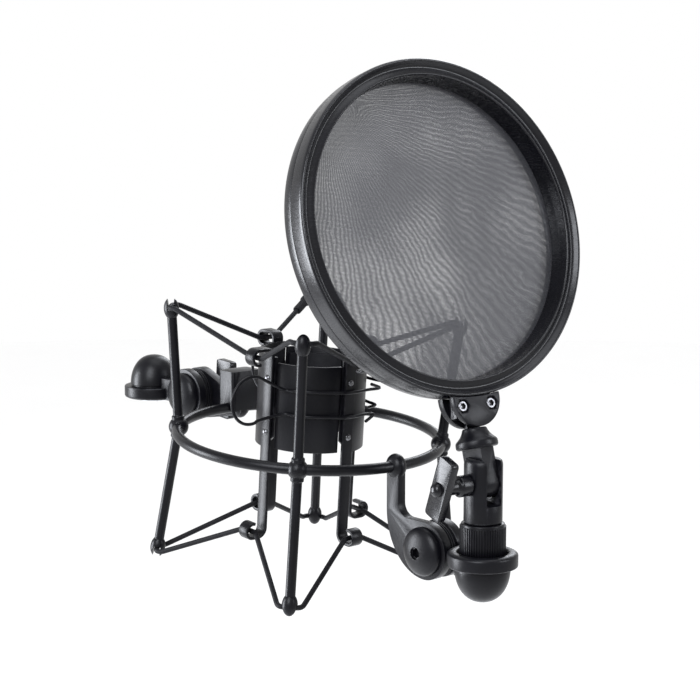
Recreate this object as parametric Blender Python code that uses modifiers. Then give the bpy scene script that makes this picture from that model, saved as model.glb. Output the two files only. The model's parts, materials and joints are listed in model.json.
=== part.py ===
"""Pop filter on a spider shock mount, for a microphone stand.

Metres, +Z up, origin at the mouth of the stand head's thread. The stand side is +Y, the pop screen
side is -Y, and the plane X = 0 cuts the heads, the ring and both brackets in half.
"""

import math

import bmesh
import bpy
from mathutils import Matrix, Vector

# Driving dimensions
GAP = 0.0003                     # between touching pieces
RING_RADIUS = 0.062
RING_WIRE = 0.0025
RING_CENTRE = (0.0, -0.1245, -0.0028)
MOUNT_LEAN = math.radians(4.57)  # the ring leans a little towards the pop screen

POST_WIRE = 0.0023
POST_TOP = (0.0674, 0.0574)      # radius and height of the upper elastic seat
POST_BOTTOM = (0.0701, -0.0606)
POST_BALL = 0.0047
BOSS_RADIUS = 0.0036
BOSS_LENGTH = 0.0053
SLOT_WIDTH = 0.0034
POSTS = {"back": 45, "left": 135, "front": 225, "right": 315}

ELASTIC_RADIUS = 0.0012
STRAND_ASIDE = 0.0058            # from a post's axis to the strand that leaves it
TOP_HOOK = (0.0344, 0.0409)      # radius and height of the elastic in the upper hooks
BOTTOM_HOOK = (0.0335, -0.0412)

BASKET_RADIUS = 0.0254
BASKET_BOTTOM = -0.0030
BASKET_TOP = 0.0405
SADDLE_HALF_ANGLE = 52
SADDLE_WALL = 0.0015
JAW_RADIUS = 0.0246
JAW_WALL = 0.0012
JAW_HALF_ANGLE = 36.8
PAD_WALL = 0.0016
STRAP_WIDTH = 0.006
STRAP_WALL = 0.0015
HOOK_CURL = 0.0034
STRAPS = {"right": 0, "rear": 90, "left": 180, "fore": 270}
RIVET_HEIGHTS = {"upper": 0.0305, "lower": 0.005}
WIRE = 0.00075
WIRE_HEIGHTS = (0.0265, 0.0150)
LOOP_RADIUS = 0.011

FLANGE_RADIUS = 0.0153
FLANGE_HEIGHT = 0.0063
DOME_RADIUS = 0.0121
DOME_TOP = 0.0220
HEAD_BORE = 0.0092
HINGE_REACH = 0.0318             # from the head's axis to its hinge
HINGE_HEIGHT = 0.0055            # from the mouth to the hinge
DISC_RADIUS = 0.0129
NEAR_DISC = (-0.0040, 0.0003)    # the stack of discs along the hinge
WASHER_DISC = (0.0006, 0.0043)
FAR_DISC = (0.0046, 0.0096)
BOLT_RADIUS = 0.0030
BOLT_BORE = 0.0033
RING_EYE = (0.0040, 0.0053, 0.0057)
HANDLE_STEM = 0.0032
HANDLE_WALL = 0.0038

POP_AXIS_Y = -0.2386
POP_MOUTH_Z = -0.0369
POP_SWIVEL = math.radians(-6.7)
POP_LEAN = math.radians(-16.2)
PIVOT_HEIGHT = -0.0071
NUT_RADIUS = 0.0100
NUT_HEIGHTS = (-0.0393, -0.0243)
CLEVIS_RADIUS = 0.00835
CLEVIS_TOP = 0.0034
SLOT_FLOOR = -0.0161
SLOT_HALF = 0.00395

HOOP_RADIUS = 0.0741
HOOP_BORE = 0.0667
HOOP_CENTRE = 0.1109             # from the clevis pivot
HOOP_FACE = -0.0029              # datum plane of the hoop's section, before its front edge
MESH_RADIUS = 0.0683
MESH_FRONT = -0.0080             # end of the sleeve that holds the mesh, from the datum plane
MESH_LAYER = 0.0003
SCREW_SPREAD = 0.00765
SCREW_HEIGHT = 0.0331


# Scene and shape helpers

def clear_scene():
    for obj in list(bpy.data.objects):
        bpy.data.objects.remove(obj, do_unlink=True)


def new_collection(name):
    collection = bpy.data.collections.new(name)
    bpy.context.scene.collection.children.link(collection)
    return collection


def paint(name, colour, roughness, metallic):
    material = bpy.data.materials.new(name)
    material.use_nodes = True
    shader = material.node_tree.nodes["Principled BSDF"]
    shader.inputs["Base Color"].default_value = (*colour, 1.0)
    shader.inputs["Roughness"].default_value = roughness
    shader.inputs["Metallic"].default_value = metallic
    return material


def frame(name, parent=None, at=(0, 0, 0), turn=(0, 0, 0)):
    """An empty that other objects are placed in."""
    empty = bpy.data.objects.new(name, None)
    PARTS.objects.link(empty)
    empty.parent = parent
    empty.location = at
    empty.rotation_euler = turn
    return empty


def place(name, mesh, parent, at, turn):
    obj = bpy.data.objects.new(name, mesh)
    PARTS.objects.link(obj)
    obj.parent = parent
    obj.location = at
    obj.rotation_euler = turn
    return obj


def from_bmesh(name, bm, parent=None, at=(0, 0, 0), turn=(0, 0, 0)):
    bmesh.ops.recalc_face_normals(bm, faces=bm.faces)
    mesh = bpy.data.meshes.new(name)
    bm.to_mesh(mesh)
    bm.free()
    return place(name, mesh, parent, at, turn)


def box(name, low, high, parent=None, at=(0, 0, 0), turn=(0, 0, 0)):
    """A block between two corners."""
    size = [b - a for a, b in zip(low, high)]
    middle = [(a + b) / 2 for a, b in zip(low, high)]
    bm = bmesh.new()
    bmesh.ops.create_cube(bm, size=1, matrix=Matrix.Translation(middle) @ Matrix.Diagonal((*size, 1)))
    return from_bmesh(name, bm, parent, at, turn)


def cylinder(name, radius, low, high, axis="Z", sides=24, parent=None, at=(0, 0, 0), turn=(0, 0, 0),
             top_radius=None):
    """A round bar from low to high along an axis."""
    along = {"X": Matrix.Rotation(math.pi / 2, 4, "Y"), "Y": Matrix.Rotation(-math.pi / 2, 4, "X"),
             "Z": Matrix.Identity(4)}[axis]
    middle = along @ Matrix.Translation((0, 0, (low + high) / 2))
    bm = bmesh.new()
    end = radius if top_radius is None else top_radius
    bmesh.ops.create_cone(bm, cap_ends=True, segments=sides, radius1=radius, radius2=end,
                          depth=high - low, matrix=middle)
    return from_bmesh(name, bm, parent, at, turn)


def ball(name, radii, parent=None, at=(0, 0, 0), turn=(0, 0, 0), segments=16, rings=10):
    bm = bmesh.new()
    bmesh.ops.create_uvsphere(bm, u_segments=segments, v_segments=rings, radius=1,
                              matrix=Matrix.Diagonal((*radii, 1)))
    return from_bmesh(name, bm, parent, at, turn)


def torus(name, radius, wire, parent, segments=48, sides=8):
    bpy.ops.mesh.primitive_torus_add(major_radius=radius, minor_radius=wire, major_segments=segments,
                                     minor_segments=sides)
    made = bpy.context.object
    mesh = made.data
    bpy.data.objects.remove(made)
    return place(name, mesh, parent, (0, 0, 0), (0, 0, 0))


def turned(name, profile, steps=32, closed=False, parent=None, at=(0, 0, 0), turn=(0, 0, 0)):
    """A profile of (radius, height) points, top to bottom, turned about Z."""
    bm = bmesh.new()
    points = [bm.verts.new((radius, 0, height)) for radius, height in profile]
    for first, second in zip(points, points[1:]):
        bm.edges.new((first, second))
    if closed:
        bm.edges.new((points[-1], points[0]))
    mesh = bpy.data.meshes.new(name)
    bm.to_mesh(mesh)
    bm.free()
    obj = place(name, mesh, parent, at, turn)
    screw = obj.modifiers.new("turn", "SCREW")
    screw.axis = "Z"
    screw.steps = steps
    screw.render_steps = steps
    screw.use_merge_vertices = True
    screw.merge_threshold = 0.0001
    return obj


def meshed(name, curve, parent, at, turn):
    """The welded mesh of a curve, in an object of its own."""
    guide = bpy.data.objects.new(name + "_guide", curve)
    PARTS.objects.link(guide)
    graph = bpy.context.evaluated_depsgraph_get()
    mesh = bpy.data.meshes.new_from_object(guide.evaluated_get(graph))
    bpy.data.objects.remove(guide)
    bm = bmesh.new()
    bm.from_mesh(mesh)
    bmesh.ops.remove_doubles(bm, verts=bm.verts, dist=0.00001)
    bm.to_mesh(mesh)
    bm.free()
    return place(name, mesh, parent, at, turn)


def poly_curve(name, points, closed, flat):
    curve = bpy.data.curves.new(name, "CURVE")
    curve.dimensions = "2D" if flat else "3D"
    spline = curve.splines.new("POLY")
    spline.points.add(len(points) - 1)
    for point, place_at in zip(spline.points, points):
        point.co = (*place_at, 0, 1) if flat else (*place_at, 1)
    spline.use_cyclic_u = closed
    return curve


def rod(name, points, radius, closed=False, detail=2, parent=None, at=(0, 0, 0), turn=(0, 0, 0)):
    """A round wire along a list of points."""
    curve = poly_curve(name, points, closed, False)
    curve.bevel_depth = radius
    curve.bevel_resolution = detail
    curve.use_fill_caps = not closed
    return meshed(name, curve, parent, at, turn)


def plate(name, outline, low, high, parent=None, at=(0, 0, 0), turn=(0, 0, 0)):
    """A flat outline in X and Y, from height low to high."""
    curve = poly_curve(name, outline, True, True)
    curve.fill_mode = "BOTH"
    curve.extrude = (high - low) / 2
    obj = meshed(name, curve, parent, at, turn)
    obj.data.transform(Matrix.Translation((0, 0, (low + high) / 2)))
    return obj


def ribbon(name, path, width, thickness, parent=None, at=(0, 0, 0), turn=(0, 0, 0)):
    """A flat strip bent along a path in X and Y, as wide as width along Z."""
    curve = poly_curve(name, path, False, True)
    curve.fill_mode = "NONE"
    curve.extrude = width / 2
    obj = meshed(name, curve, parent, at, turn)
    wall = obj.modifiers.new("thickness", "SOLIDIFY")
    wall.thickness = thickness
    wall.offset = 0
    wall.use_even_offset = True
    return obj


def combine(target, others, operation):
    for other in others:
        for collection in list(other.users_collection):
            collection.objects.unlink(other)
        CUTTERS.objects.link(other)
        other.hide_render = True
        other.display_type = "WIRE"
        step = target.modifiers.new(operation.lower(), "BOOLEAN")
        step.operation = operation
        step.object = other
    return target


def join(target, *others):
    return combine(target, others, "UNION")


def cut(target, *others):
    return combine(target, others, "DIFFERENCE")


def round_edges(obj, width, segments=2):
    bevel = obj.modifiers.new("round", "BEVEL")
    bevel.width = width
    bevel.segments = segments
    bevel.limit_method = "ANGLE"
    bevel.angle_limit = math.radians(40)
    return obj


def coat(obj, material):
    """Gives a part its material and smooth round faces."""
    obj.data.materials.append(material)
    if obj.data.polygons:
        obj.data.shade_smooth()
        obj.data.set_sharp_from_angle(angle=math.radians(35))
    return obj


def around(radius, angle, height=0.0):
    """A point at an angle in degrees about Z."""
    turn = math.radians(angle)
    return Vector((radius * math.cos(turn), radius * math.sin(turn), height))


def arc(centre, radius, start, end, count):
    """Points of a circle in a plane, from one angle in degrees to another."""
    angles = [math.radians(start + (end - start) * i / (count - 1)) for i in range(count)]
    return [(centre[0] + radius * math.cos(a), centre[1] + radius * math.sin(a)) for a in angles]


# The ring, its posts and the elastic

def make_ring():
    coat(torus("ring", RING_RADIUS, RING_WIRE, MOUNT), BLACK_METAL)


def ring_bore():
    """The room that a piece on the ring leaves for it."""
    return torus("ring_bore", RING_RADIUS, RING_WIRE + GAP, MOUNT)


def make_post(name, angle):
    """A bent wire on the ring, with a slotted boss at each end for the elastic."""
    middle = Vector((RING_RADIUS, 0, 0))
    turn = (0, 0, math.radians(angle))
    post = ball("post_" + name, (POST_BALL,) * 3, MOUNT, middle, segments=12, rings=8)
    post.location = around(RING_RADIUS, angle)
    post.rotation_euler = turn
    for radius, height in (POST_TOP, POST_BOTTOM):
        seat = Vector((radius, 0, height))
        along = (seat - middle).normalized()
        tilt = math.atan2(along.x, along.z)
        centre = seat - along * 0.001
        arm = rod("arm", [middle + along * 0.0015, centre], POST_WIRE, detail=2, parent=MOUNT, turn=turn)
        boss = ball("boss", (BOSS_RADIUS, BOSS_RADIUS, BOSS_LENGTH), segments=10, rings=8)
        boss.data.transform(Matrix.Translation(centre) @ Matrix.Rotation(tilt, 4, "Y"))
        boss.parent = MOUNT
        boss.rotation_euler = turn
        join(post, arm, boss)
        slot = box("slot", (-SLOT_WIDTH / 2, -0.008, -0.0015), (SLOT_WIDTH / 2, 0.008, 0.012))
        slot.data.transform(Matrix.Translation(seat) @ Matrix.Rotation(tilt, 4, "Y"))
        slot.parent = MOUNT
        slot.rotation_euler = turn
        cut(post, slot)
    cut(post, ring_bore())
    coat(post, BLACK_METAL)


def elastic_route(post_seat, hook_seat):
    """The zigzag from post to hook and on to the next post, as one closed loop."""
    route = []
    for angle in sorted(POSTS.values()):
        for inward, aside in ((0.0026, -STRAND_ASIDE), (0.0004, -0.0046), (-0.0002, -0.0026),
                              (-0.0002, 0.0026), (0.0004, 0.0046), (0.0026, STRAND_ASIDE)):
            point = Vector((post_seat[0] - inward, aside, post_seat[1]))
            route.append(Matrix.Rotation(math.radians(angle), 3, "Z") @ point)
        for aside in (-0.0042, 0.0, 0.0042):
            point = Vector((hook_seat[0], aside, hook_seat[1]))
            route.append(Matrix.Rotation(math.radians(angle + 45), 3, "Z") @ point)
    return route


def make_elastics():
    coat(rod("elastic_top", elastic_route(POST_TOP, TOP_HOOK), ELASTIC_RADIUS, True, 2, MOUNT), RUBBER)
    coat(rod("elastic_bottom", elastic_route(POST_BOTTOM, BOTTOM_HOOK), ELASTIC_RADIUS, True, 2, MOUNT),
         RUBBER)


def make_crimp(name, post_seat, hook_seat, post_angle, hook_angle):
    """A stepped sleeve that joins the ends of an elastic, on the strand next to a post."""
    side = 1 if hook_angle > post_angle else -1
    start = Matrix.Rotation(math.radians(post_angle), 3, "Z") @ Vector(
        (post_seat[0] - 0.0026, side * STRAND_ASIDE, post_seat[1]))
    end = Matrix.Rotation(math.radians(hook_angle), 3, "Z") @ Vector(
        (hook_seat[0], -side * 0.0042, hook_seat[1]))
    along = (end - start).normalized()
    inner = ELASTIC_RADIUS + GAP
    profile = [(0.0021, 0.015), (0.0021, 0.0065), (0.0027, 0.006), (0.0027, 0.0005), (0.0024, 0.0),
               (inner, 0.0), (inner, 0.0152), (0.0018, 0.0152)]
    sleeve = turned(name, profile, 12, True, MOUNT, start + along * 0.004)
    sleeve.rotation_euler = along.to_track_quat("Z", "X").to_euler()
    coat(sleeve, RUBBER)


# The basket

def wall_outline(radius, wall, middle, half_angle):
    """The plan of a curved wall: its outer arc and back along its inner one."""
    steps = 12
    outer = arc((0, 0), radius, middle - half_angle, middle + half_angle, steps)
    inner = arc((0, 0), radius - wall, middle + half_angle, middle - half_angle, steps)
    return outer + inner


def make_saddle(name, middle):
    saddle = plate("saddle_" + name, wall_outline(BASKET_RADIUS, SADDLE_WALL, middle, SADDLE_HALF_ANGLE),
                   BASKET_BOTTOM, BASKET_TOP, MOUNT)
    for angle in (middle - SADDLE_HALF_ANGLE, middle + SADDLE_HALF_ANGLE):
        corner = box("corner", (-0.006, -0.0052, -0.0052), (0.006, 0.0052, 0.0052))
        corner.data.transform(Matrix.Rotation(math.radians(45), 4, "X"))
        corner.parent = MOUNT
        corner.location = around(BASKET_RADIUS, angle, BASKET_BOTTOM - 0.0015)
        corner.rotation_euler = (0, 0, math.radians(angle))
        cut(saddle, corner)
    coat(saddle, BLACK_METAL)
    pad_radius = BASKET_RADIUS - SADDLE_WALL - GAP
    pad = plate("saddle_pad_" + name, wall_outline(pad_radius, PAD_WALL, middle, SADDLE_HALF_ANGLE - 5),
                BASKET_BOTTOM + 0.005, BASKET_TOP - 0.002, MOUNT)
    coat(pad, RUBBER)


def strap_path():
    """The strap in its own radial plane: upper hook, wall and lower hook, each curled nearly shut."""
    wall = BASKET_RADIUS + 0.00025 + STRAP_WALL / 2
    upper = arc((0.0344, 0.0409), HOOK_CURL, -110, 90, 9) + arc((0.0292, 0.0415), 0.0028, 90, 180, 4)
    lower = arc((0.0304, -0.0404), 0.0040, 180, 270, 4) + arc((0.0338, -0.0410), HOOK_CURL, 270, 470, 9)
    return upper + [(wall, BASKET_TOP - 0.002), (wall, BASKET_BOTTOM)] + lower


def make_strap(name, angle):
    """A bent strip with a hook at each end for the elastics."""
    turn = (math.pi / 2, 0, math.radians(angle))
    strap = ribbon("strap_" + name, strap_path(), STRAP_WIDTH, STRAP_WALL, MOUNT, turn=turn)
    inner = BASKET_RADIUS - SADDLE_WALL - 0.0001
    for height in RIVET_HEIGHTS.values():
        hole = cylinder("rivet_hole", 0.0011, inner, BASKET_RADIUS + 0.004, "X", 10, MOUNT,
                        (0, 0, 0), (0, 0, math.radians(angle)))
        hole.data.transform(Matrix.Translation((0, 0, height)))
        cut(strap, hole)
        for saddle_name, middle in (("left", 135), ("right", 315)):
            if abs((angle - middle + 180) % 360 - 180) < SADDLE_HALF_ANGLE:
                step = bpy.data.objects["saddle_" + saddle_name].modifiers.new("rivet", "BOOLEAN")
                step.operation = "DIFFERENCE"
                step.object = hole
    coat(strap, BLACK_METAL)


def make_rivet(name, angle, height):
    """A domed rivet through the strap and the saddle."""
    head = BASKET_RADIUS + 0.00025 + STRAP_WALL + GAP / 3
    profile = [(0, head + 0.0009), (0.0009, head + 0.0007), (0.0015, head), (0.0008, head),
               (0.0008, BASKET_RADIUS - SADDLE_WALL), (0, BASKET_RADIUS - SADDLE_WALL)]
    rivet = turned(name, profile, 10, False, MOUNT)
    rivet.location = (0, 0, height)
    rivet.rotation_euler = (0, math.pi / 2, math.radians(angle))
    coat(rivet, STEEL)


def mirrored(points):
    """The same points on the other side of the saddles' plane."""
    return [Vector((-point[1], -point[0], point[2])) for point in points]


def jaw_wire_route():
    """The front jaw's wire: a corner, the upper run, the squeeze loop, the lower run and a corner."""
    high, low = WIRE_HEIGHTS
    across = [(0.0293, 290), (0.0287, 279), (0.0285, 270), (0.0284, 262), (0.0264, 250), (0.0257, 238),
              (0.0257, 225), (0.0257, 212), (0.0260, 200)]
    start = [Vector((0.0105, -0.0297, high + 0.0030)), Vector((0.0168, -0.0285, high + 0.0004))]
    upper = [around(radius, angle, high) for radius, angle in across]
    lower = [around(radius, angle, low) for radius, angle in reversed(across)]
    end = [Vector((0.0140, -0.0282, low - 0.0006)), Vector((0.0088, -0.0290, low - 0.0030))]
    middle = (high + low) / 2 + 0.002
    loop = [Vector((-0.0410 + x, -0.0062, middle + z))
            for x, z in arc((0, 0), LOOP_RADIUS, 62, 298, 12)]
    return start + upper + loop + lower + end


def make_jaw(name, middle, swap):
    """A panel with its rubber pad and the sprung wire that carries it."""
    bottom, top = BASKET_BOTTOM + 0.0005, BASKET_TOP - 0.0025
    coat(plate("jaw_" + name, wall_outline(JAW_RADIUS, JAW_WALL, middle, JAW_HALF_ANGLE), bottom, top,
               MOUNT), BLACK_METAL)
    pad_radius = JAW_RADIUS - JAW_WALL - GAP
    coat(plate("jaw_pad_" + name, wall_outline(pad_radius, PAD_WALL, middle, JAW_HALF_ANGLE - 3),
               bottom + 0.003, top - 0.003, MOUNT), RUBBER)
    route = jaw_wire_route()
    if swap:
        route = mirrored(route)
    coat(rod("jaw_wire_" + name, route, WIRE, detail=1, parent=MOUNT), BLACK_METAL)


# The heads and their hinges

def head_profile(recess):
    """Dome, flange and mouth. A recess leaves room for the lock nut, a plain mouth for the bush."""
    steps = 6
    base = FLANGE_HEIGHT + 0.0009
    dome = []
    for i in range(steps + 1):
        turn = math.pi / 2 * (1 - i / steps)
        dome.append((DOME_RADIUS * math.cos(turn) ** 0.85, base + (DOME_TOP - base) * math.sin(turn)))
    dome[0] = (0, DOME_TOP)
    flange = [(DOME_RADIUS - 0.0006, base - 0.0003), (DOME_RADIUS - 0.0006, FLANGE_HEIGHT + 0.0001),
              (FLANGE_RADIUS - 0.0007, FLANGE_HEIGHT), (FLANGE_RADIUS, FLANGE_HEIGHT - 0.0008),
              (FLANGE_RADIUS, 0.0010), (FLANGE_RADIUS - 0.0006, 0.0002), (FLANGE_RADIUS - 0.0015, 0)]
    if recess:
        mouth = [(NUT_RADIUS + 0.0012, 0), (NUT_RADIUS + 0.0005, 0.0028), (0.0050, 0.0028),
                 (0.0050, 0.0130), (0, 0.0130)]
    else:
        mouth = [(HEAD_BORE, 0), (HEAD_BORE, 0.0140), (0, 0.0140)]
    return dome + flange + mouth


def make_head(name, parent, ear, recess):
    """A domed head: flange, dome and the eared disc of its hinge."""
    head = turned(name, head_profile(recess), 28, False, parent)
    disc = cylinder("ear", DISC_RADIUS, ear[0], ear[1], "X", 28, parent, (0, -HINGE_REACH, HINGE_HEIGHT))
    web = box("web", (ear[0], -HINGE_REACH, 0.0004), (ear[1], -0.0118, 0.0112), parent)
    join(head, join(disc, web))
    bore = cylinder("hinge_bore", BOLT_BORE, ear[0] - 0.01, ear[1] + 0.01, "X", 16, parent,
                    (0, -HINGE_REACH, HINGE_HEIGHT))
    cut(head, bore)
    coat(head, BLACK_METAL)


def make_thread_insert():
    """The threaded bush that screws onto a stand: its mouth stands a little proud."""
    bore = 0.0077
    profile = [(0.0086, 0.0126), (HEAD_BORE - GAP, 0.0122), (HEAD_BORE - GAP, GAP),
               (HEAD_BORE - GAP, -0.0010), (0.0082, -0.0012)]
    crests = 5
    for i in range(crests):
        height = 0.0126 * i / crests
        profile += [(bore, height), (bore + 0.0005, height + 0.0012)]
    profile.append((bore, 0.0124))
    coat(turned("stand_thread_insert", profile, 20, True, STAND), STEEL)


def make_hinge_bolt(name, parent):
    """A wide domed bolt head with a hexagon socket, on a shank through both discs."""
    face = -NEAR_DISC[0] + GAP
    profile = [(0, face + 0.0058), (0.0036, face + 0.0055), (0.0070, face + 0.0044),
               (0.0095, face + 0.0026), (0.0109, face + 0.0006), (0.0109, face), (BOLT_RADIUS, face),
               (BOLT_RADIUS, -FAR_DISC[1] - 0.0040), (0, -FAR_DISC[1] - 0.0040)]
    bolt = turned(name, profile, 24, False, parent, (0, -HINGE_REACH, HINGE_HEIGHT), (0, -math.pi / 2, 0))
    socket = cylinder("socket", 0.0024, -face - 0.0080, -face - 0.0030, "X", 6, parent,
                      (0, -HINGE_REACH, HINGE_HEIGHT))
    coat(cut(bolt, socket), BLACK_METAL)


def make_friction_washer(name, parent):
    """A grooved friction ring between the two discs."""
    low, high = WASHER_DISC
    rim = DISC_RADIUS - 0.0004
    middle = (low + high) / 2
    profile = [(rim, high), (rim, middle + 0.0004), (rim - 0.0009, middle + 0.0002),
               (rim - 0.0009, middle - 0.0002), (rim, middle - 0.0004), (rim, low), (BOLT_BORE, low),
               (BOLT_BORE, high)]
    coat(turned(name, profile, 24, True, parent, (0, -HINGE_REACH, HINGE_HEIGHT), (0, math.pi / 2, 0)),
         RUBBER)


def make_t_handle(name, parent, at, grip, size, lean, side=1):
    """A T-handle on the X axis: a hub and a round stem through its cross bar, which leans from the
    vertical. The grip is how far out its hub starts and its bar sits, the size is the bar's half
    width and half length."""
    start, middle = grip
    tip = middle + HANDLE_WALL / 2 + 0.0033
    profile = [(0, tip), (0.0016, tip - 0.0003), (0.0027, tip - 0.0011), (HANDLE_STEM, tip - 0.0024),
               (HANDLE_STEM, start + 0.0052), (0.0046, start + 0.0052), (0.0046, start), (0, start)]
    handle = turned(name, profile, 20, False, parent, at, (0, side * math.pi / 2, 0))
    centre = side * middle
    bar = box("bar", (centre - HANDLE_WALL / 2, -size[0], -size[1]),
              (centre + HANDLE_WALL / 2, size[0], size[1]), parent, at, (lean, 0, 0))
    round_edges(bar, 0.0011)
    ends = sorted((side * (start - 0.003), side * (start + 0.0047)))
    bore = cylinder("bore", BOLT_BORE, ends[0], ends[1], "X", 16, parent, at)
    coat(cut(join(handle, bar), bore), BLACK_PLASTIC)


def link_outline(big, big_radius, small, small_radius):
    """Two discs and the straight edges that touch them both."""
    reach = Vector(small) - Vector(big)
    heading = math.degrees(math.atan2(reach.y, reach.x))
    spread = math.degrees(math.acos((big_radius - small_radius) / reach.length))
    start, end = heading + spread, heading - spread + 360
    return arc(big, big_radius, start, end, 25) + arc(small, small_radius, end, start + 360, 9)


def make_rear_arm():
    """The arm from the stand hinge to its eye on the ring, with a stop block beside the eye."""
    eye = ring_point(RING_RADIUS)
    outline = link_outline((-HINGE_REACH, HINGE_HEIGHT), DISC_RADIUS, (eye.y, eye.z), 0.0045)
    arm = plate("rear_arm", outline, FAR_DISC[0], FAR_DISC[1], STAND, turn=(math.pi / 2, 0, math.pi / 2))
    middle = (FAR_DISC[0] + FAR_DISC[1]) / 2
    loop = ball("eye", RING_EYE, STAND, (middle, eye.y, eye.z), segments=14, rings=10)
    block = round_edges(box("block", (-0.0010, -0.0680, 0.0010), (0.0165, -0.0560, 0.0205), STAND), 0.002)
    bore = cylinder("hinge_bore", BOLT_BORE, 0, 0.02, "X", 16, STAND, (0, -HINGE_REACH, HINGE_HEIGHT))
    coat(cut(join(arm, loop, block), ring_bore(), bore), BLACK_METAL)


def bracket_outline():
    """The pop bracket in Y and Z: a straight arm that sweeps forwards into the hinge disc."""
    hinge = (POP_AXIS_Y + HINGE_REACH, POP_MOUTH_Z - HINGE_HEIGHT)
    eye = ring_point(-RING_RADIUS)
    half = 0.00375
    shoulder = -0.0270
    reach = eye.y + half - hinge[0]
    drop = shoulder - (hinge[1] - DISC_RADIUS)
    sweep = []
    for i in range(9):
        turn = math.pi / 2 * i / 8
        sweep.append((hinge[0] + reach * math.cos(turn), shoulder - drop * math.sin(turn)))
    front = arc(hinge, DISC_RADIUS, 270, 90, 15)
    fillet = 0.006
    corner = (eye.y - half - fillet, hinge[1] + DISC_RADIUS + fillet)
    inner = arc(corner, fillet, 270, 360, 6)
    return sweep + front[1:] + inner + [(eye.y - half, eye.z), (eye.y + half, eye.z)]


def ring_point(along):
    """A point of the ring in the plane X = 0, in the world."""
    centre = Vector(RING_CENTRE)
    return centre + Matrix.Rotation(MOUNT_LEAN, 3, "X") @ Vector((0, along, 0))


def make_pop_bracket():
    """The bracket that hangs the pop screen's hinge from the ring."""
    eye = ring_point(-RING_RADIUS)
    turn = (math.pi / 2, 0, math.pi / 2)
    bracket = plate("pop_bracket", bracket_outline(), NEAR_DISC[0], NEAR_DISC[1], turn=turn)
    middle = (NEAR_DISC[0] + NEAR_DISC[1]) / 2
    loop = ball("eye", RING_EYE, None, (middle, eye.y, eye.z), segments=14, rings=10)
    hinge = (0, POP_AXIS_Y + HINGE_REACH, POP_MOUTH_Z - HINGE_HEIGHT)
    bore = cylinder("hinge_bore", BOLT_BORE, -0.02, 0.02, "X", 16, None, hinge)
    coat(cut(join(bracket, loop), ring_bore(), bore), BLACK_METAL)


# The pop screen's swivel, clevis and neck

def make_stud():
    """The threaded stud that stands on the pop head and carries the nut and the clevis."""
    low = POP_MOUTH_Z - 0.0120
    profile = [(0, -0.0178), (0.0040, -0.0178), (0.0046, -0.0184), (0.0046, low + 0.0006), (0.0040, low),
               (0, low)]
    coat(turned("swivel_stud", profile, 20, False, None, (0, POP_AXIS_Y, 0)), STEEL)


def make_knurled_nut():
    """The lock nut below the clevis, with a ribbed side."""
    low, high = NUT_HEIGHTS
    ribs = 56
    outline = []
    for i in range(ribs):
        angle = 360 * i / ribs
        outline += [tuple(around(NUT_RADIUS, angle).xy),
                    tuple(around(NUT_RADIUS - 0.0004, angle + 180 / ribs).xy)]
    at = (0, POP_AXIS_Y, 0)
    nut = plate("knurled_nut", outline, low + 0.0004, high - 0.0008, None, at)
    collar = cylinder("collar", NUT_RADIUS - 0.0004, high - 0.0010, high, "Z", 28, None, at,
                      top_radius=NUT_RADIUS - 0.0009)
    bore = cylinder("nut_bore", 0.0049, low - 0.001, high + 0.001, "Z", 20, None, at)
    coat(cut(join(nut, collar), bore), BLACK_METAL)


def make_clevis():
    """The fork that the screen's neck tilts in."""
    base = NUT_HEIGHTS[1] + GAP - RING_CENTRE[2]
    top = CLEVIS_TOP + 0.0028
    pivot = PIVOT_HEIGHT - RING_CENTRE[2]
    profile = [(0, top), (CLEVIS_RADIUS - 0.0022, top), (CLEVIS_RADIUS - 0.0007, top - 0.0006),
               (CLEVIS_RADIUS, top - 0.0022), (CLEVIS_RADIUS, base + 0.0005),
               (CLEVIS_RADIUS - 0.0005, base), (0, base)]
    clevis = turned("clevis", profile, 24, False, SWIVEL)
    floor = SLOT_FLOOR - RING_CENTRE[2]
    slot = round_edges(box("slot", (-SLOT_HALF, -0.012, floor), (SLOT_HALF, 0.012, 0.02), SWIVEL), 0.001)
    pin = cylinder("pin_bore", BOLT_BORE, -0.02, 0.02, "X", 16, SWIVEL, (0, 0, pivot))
    stud = cylinder("stud_bore", 0.0049, base - 0.005, base + 0.0066, "Z", 20, SWIVEL)
    coat(cut(clevis, slot, pin, stud), BLACK_METAL)
    bolt = cylinder("clevis_bolt", BOLT_RADIUS, -0.0128, 0.0082, "X", 20, SWIVEL, (0, 0, pivot))
    coat(bolt, STEEL)


def make_neck():
    """The tongue in the clevis, the flared cone above it and the blade between the plates."""
    neck = turned("neck", [(0, 0.0236), (0.0052, 0.0234), (0.0056, 0.0220), (0.0066, 0.0204),
                           (0.0090, 0.0183), (0.0091, 0.0154), (0.0086, 0.0148), (0, 0.0148)],
                  24, False, TILT)
    half = 0.0035
    tongue = plate("tongue", arc((0, 0), 0.0064, 180, 360, 13) + [(0.0064, 0.0165), (-0.0064, 0.0165)],
                   -half, half, TILT, turn=(math.pi / 2, 0, math.pi / 2))
    blade = plate("blade", [(-0.0035, 0.0200), (0.0035, 0.0200), (0.0035, 0.0270), (0.0100, 0.0285),
                            (0.0100, 0.0360), (-0.0100, 0.0360), (-0.0100, 0.0285), (-0.0035, 0.0270)],
                  -0.0021, -0.0002, TILT, turn=(math.pi / 2, 0, 0))
    pin = cylinder("pin_bore", BOLT_BORE, -0.01, 0.01, "X", 16, TILT)
    join(neck, tongue, blade)
    cut(neck, pin, *screw_bores("blade"))
    coat(neck, BLACK_METAL)


def screw_bores(name):
    return [cylinder(name + "_bore", 0.0017, -0.03, 0.03, "Y", 12, TILT, (x, 0, SCREW_HEIGHT))
            for x in (-SCREW_SPREAD, SCREW_SPREAD)]


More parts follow.
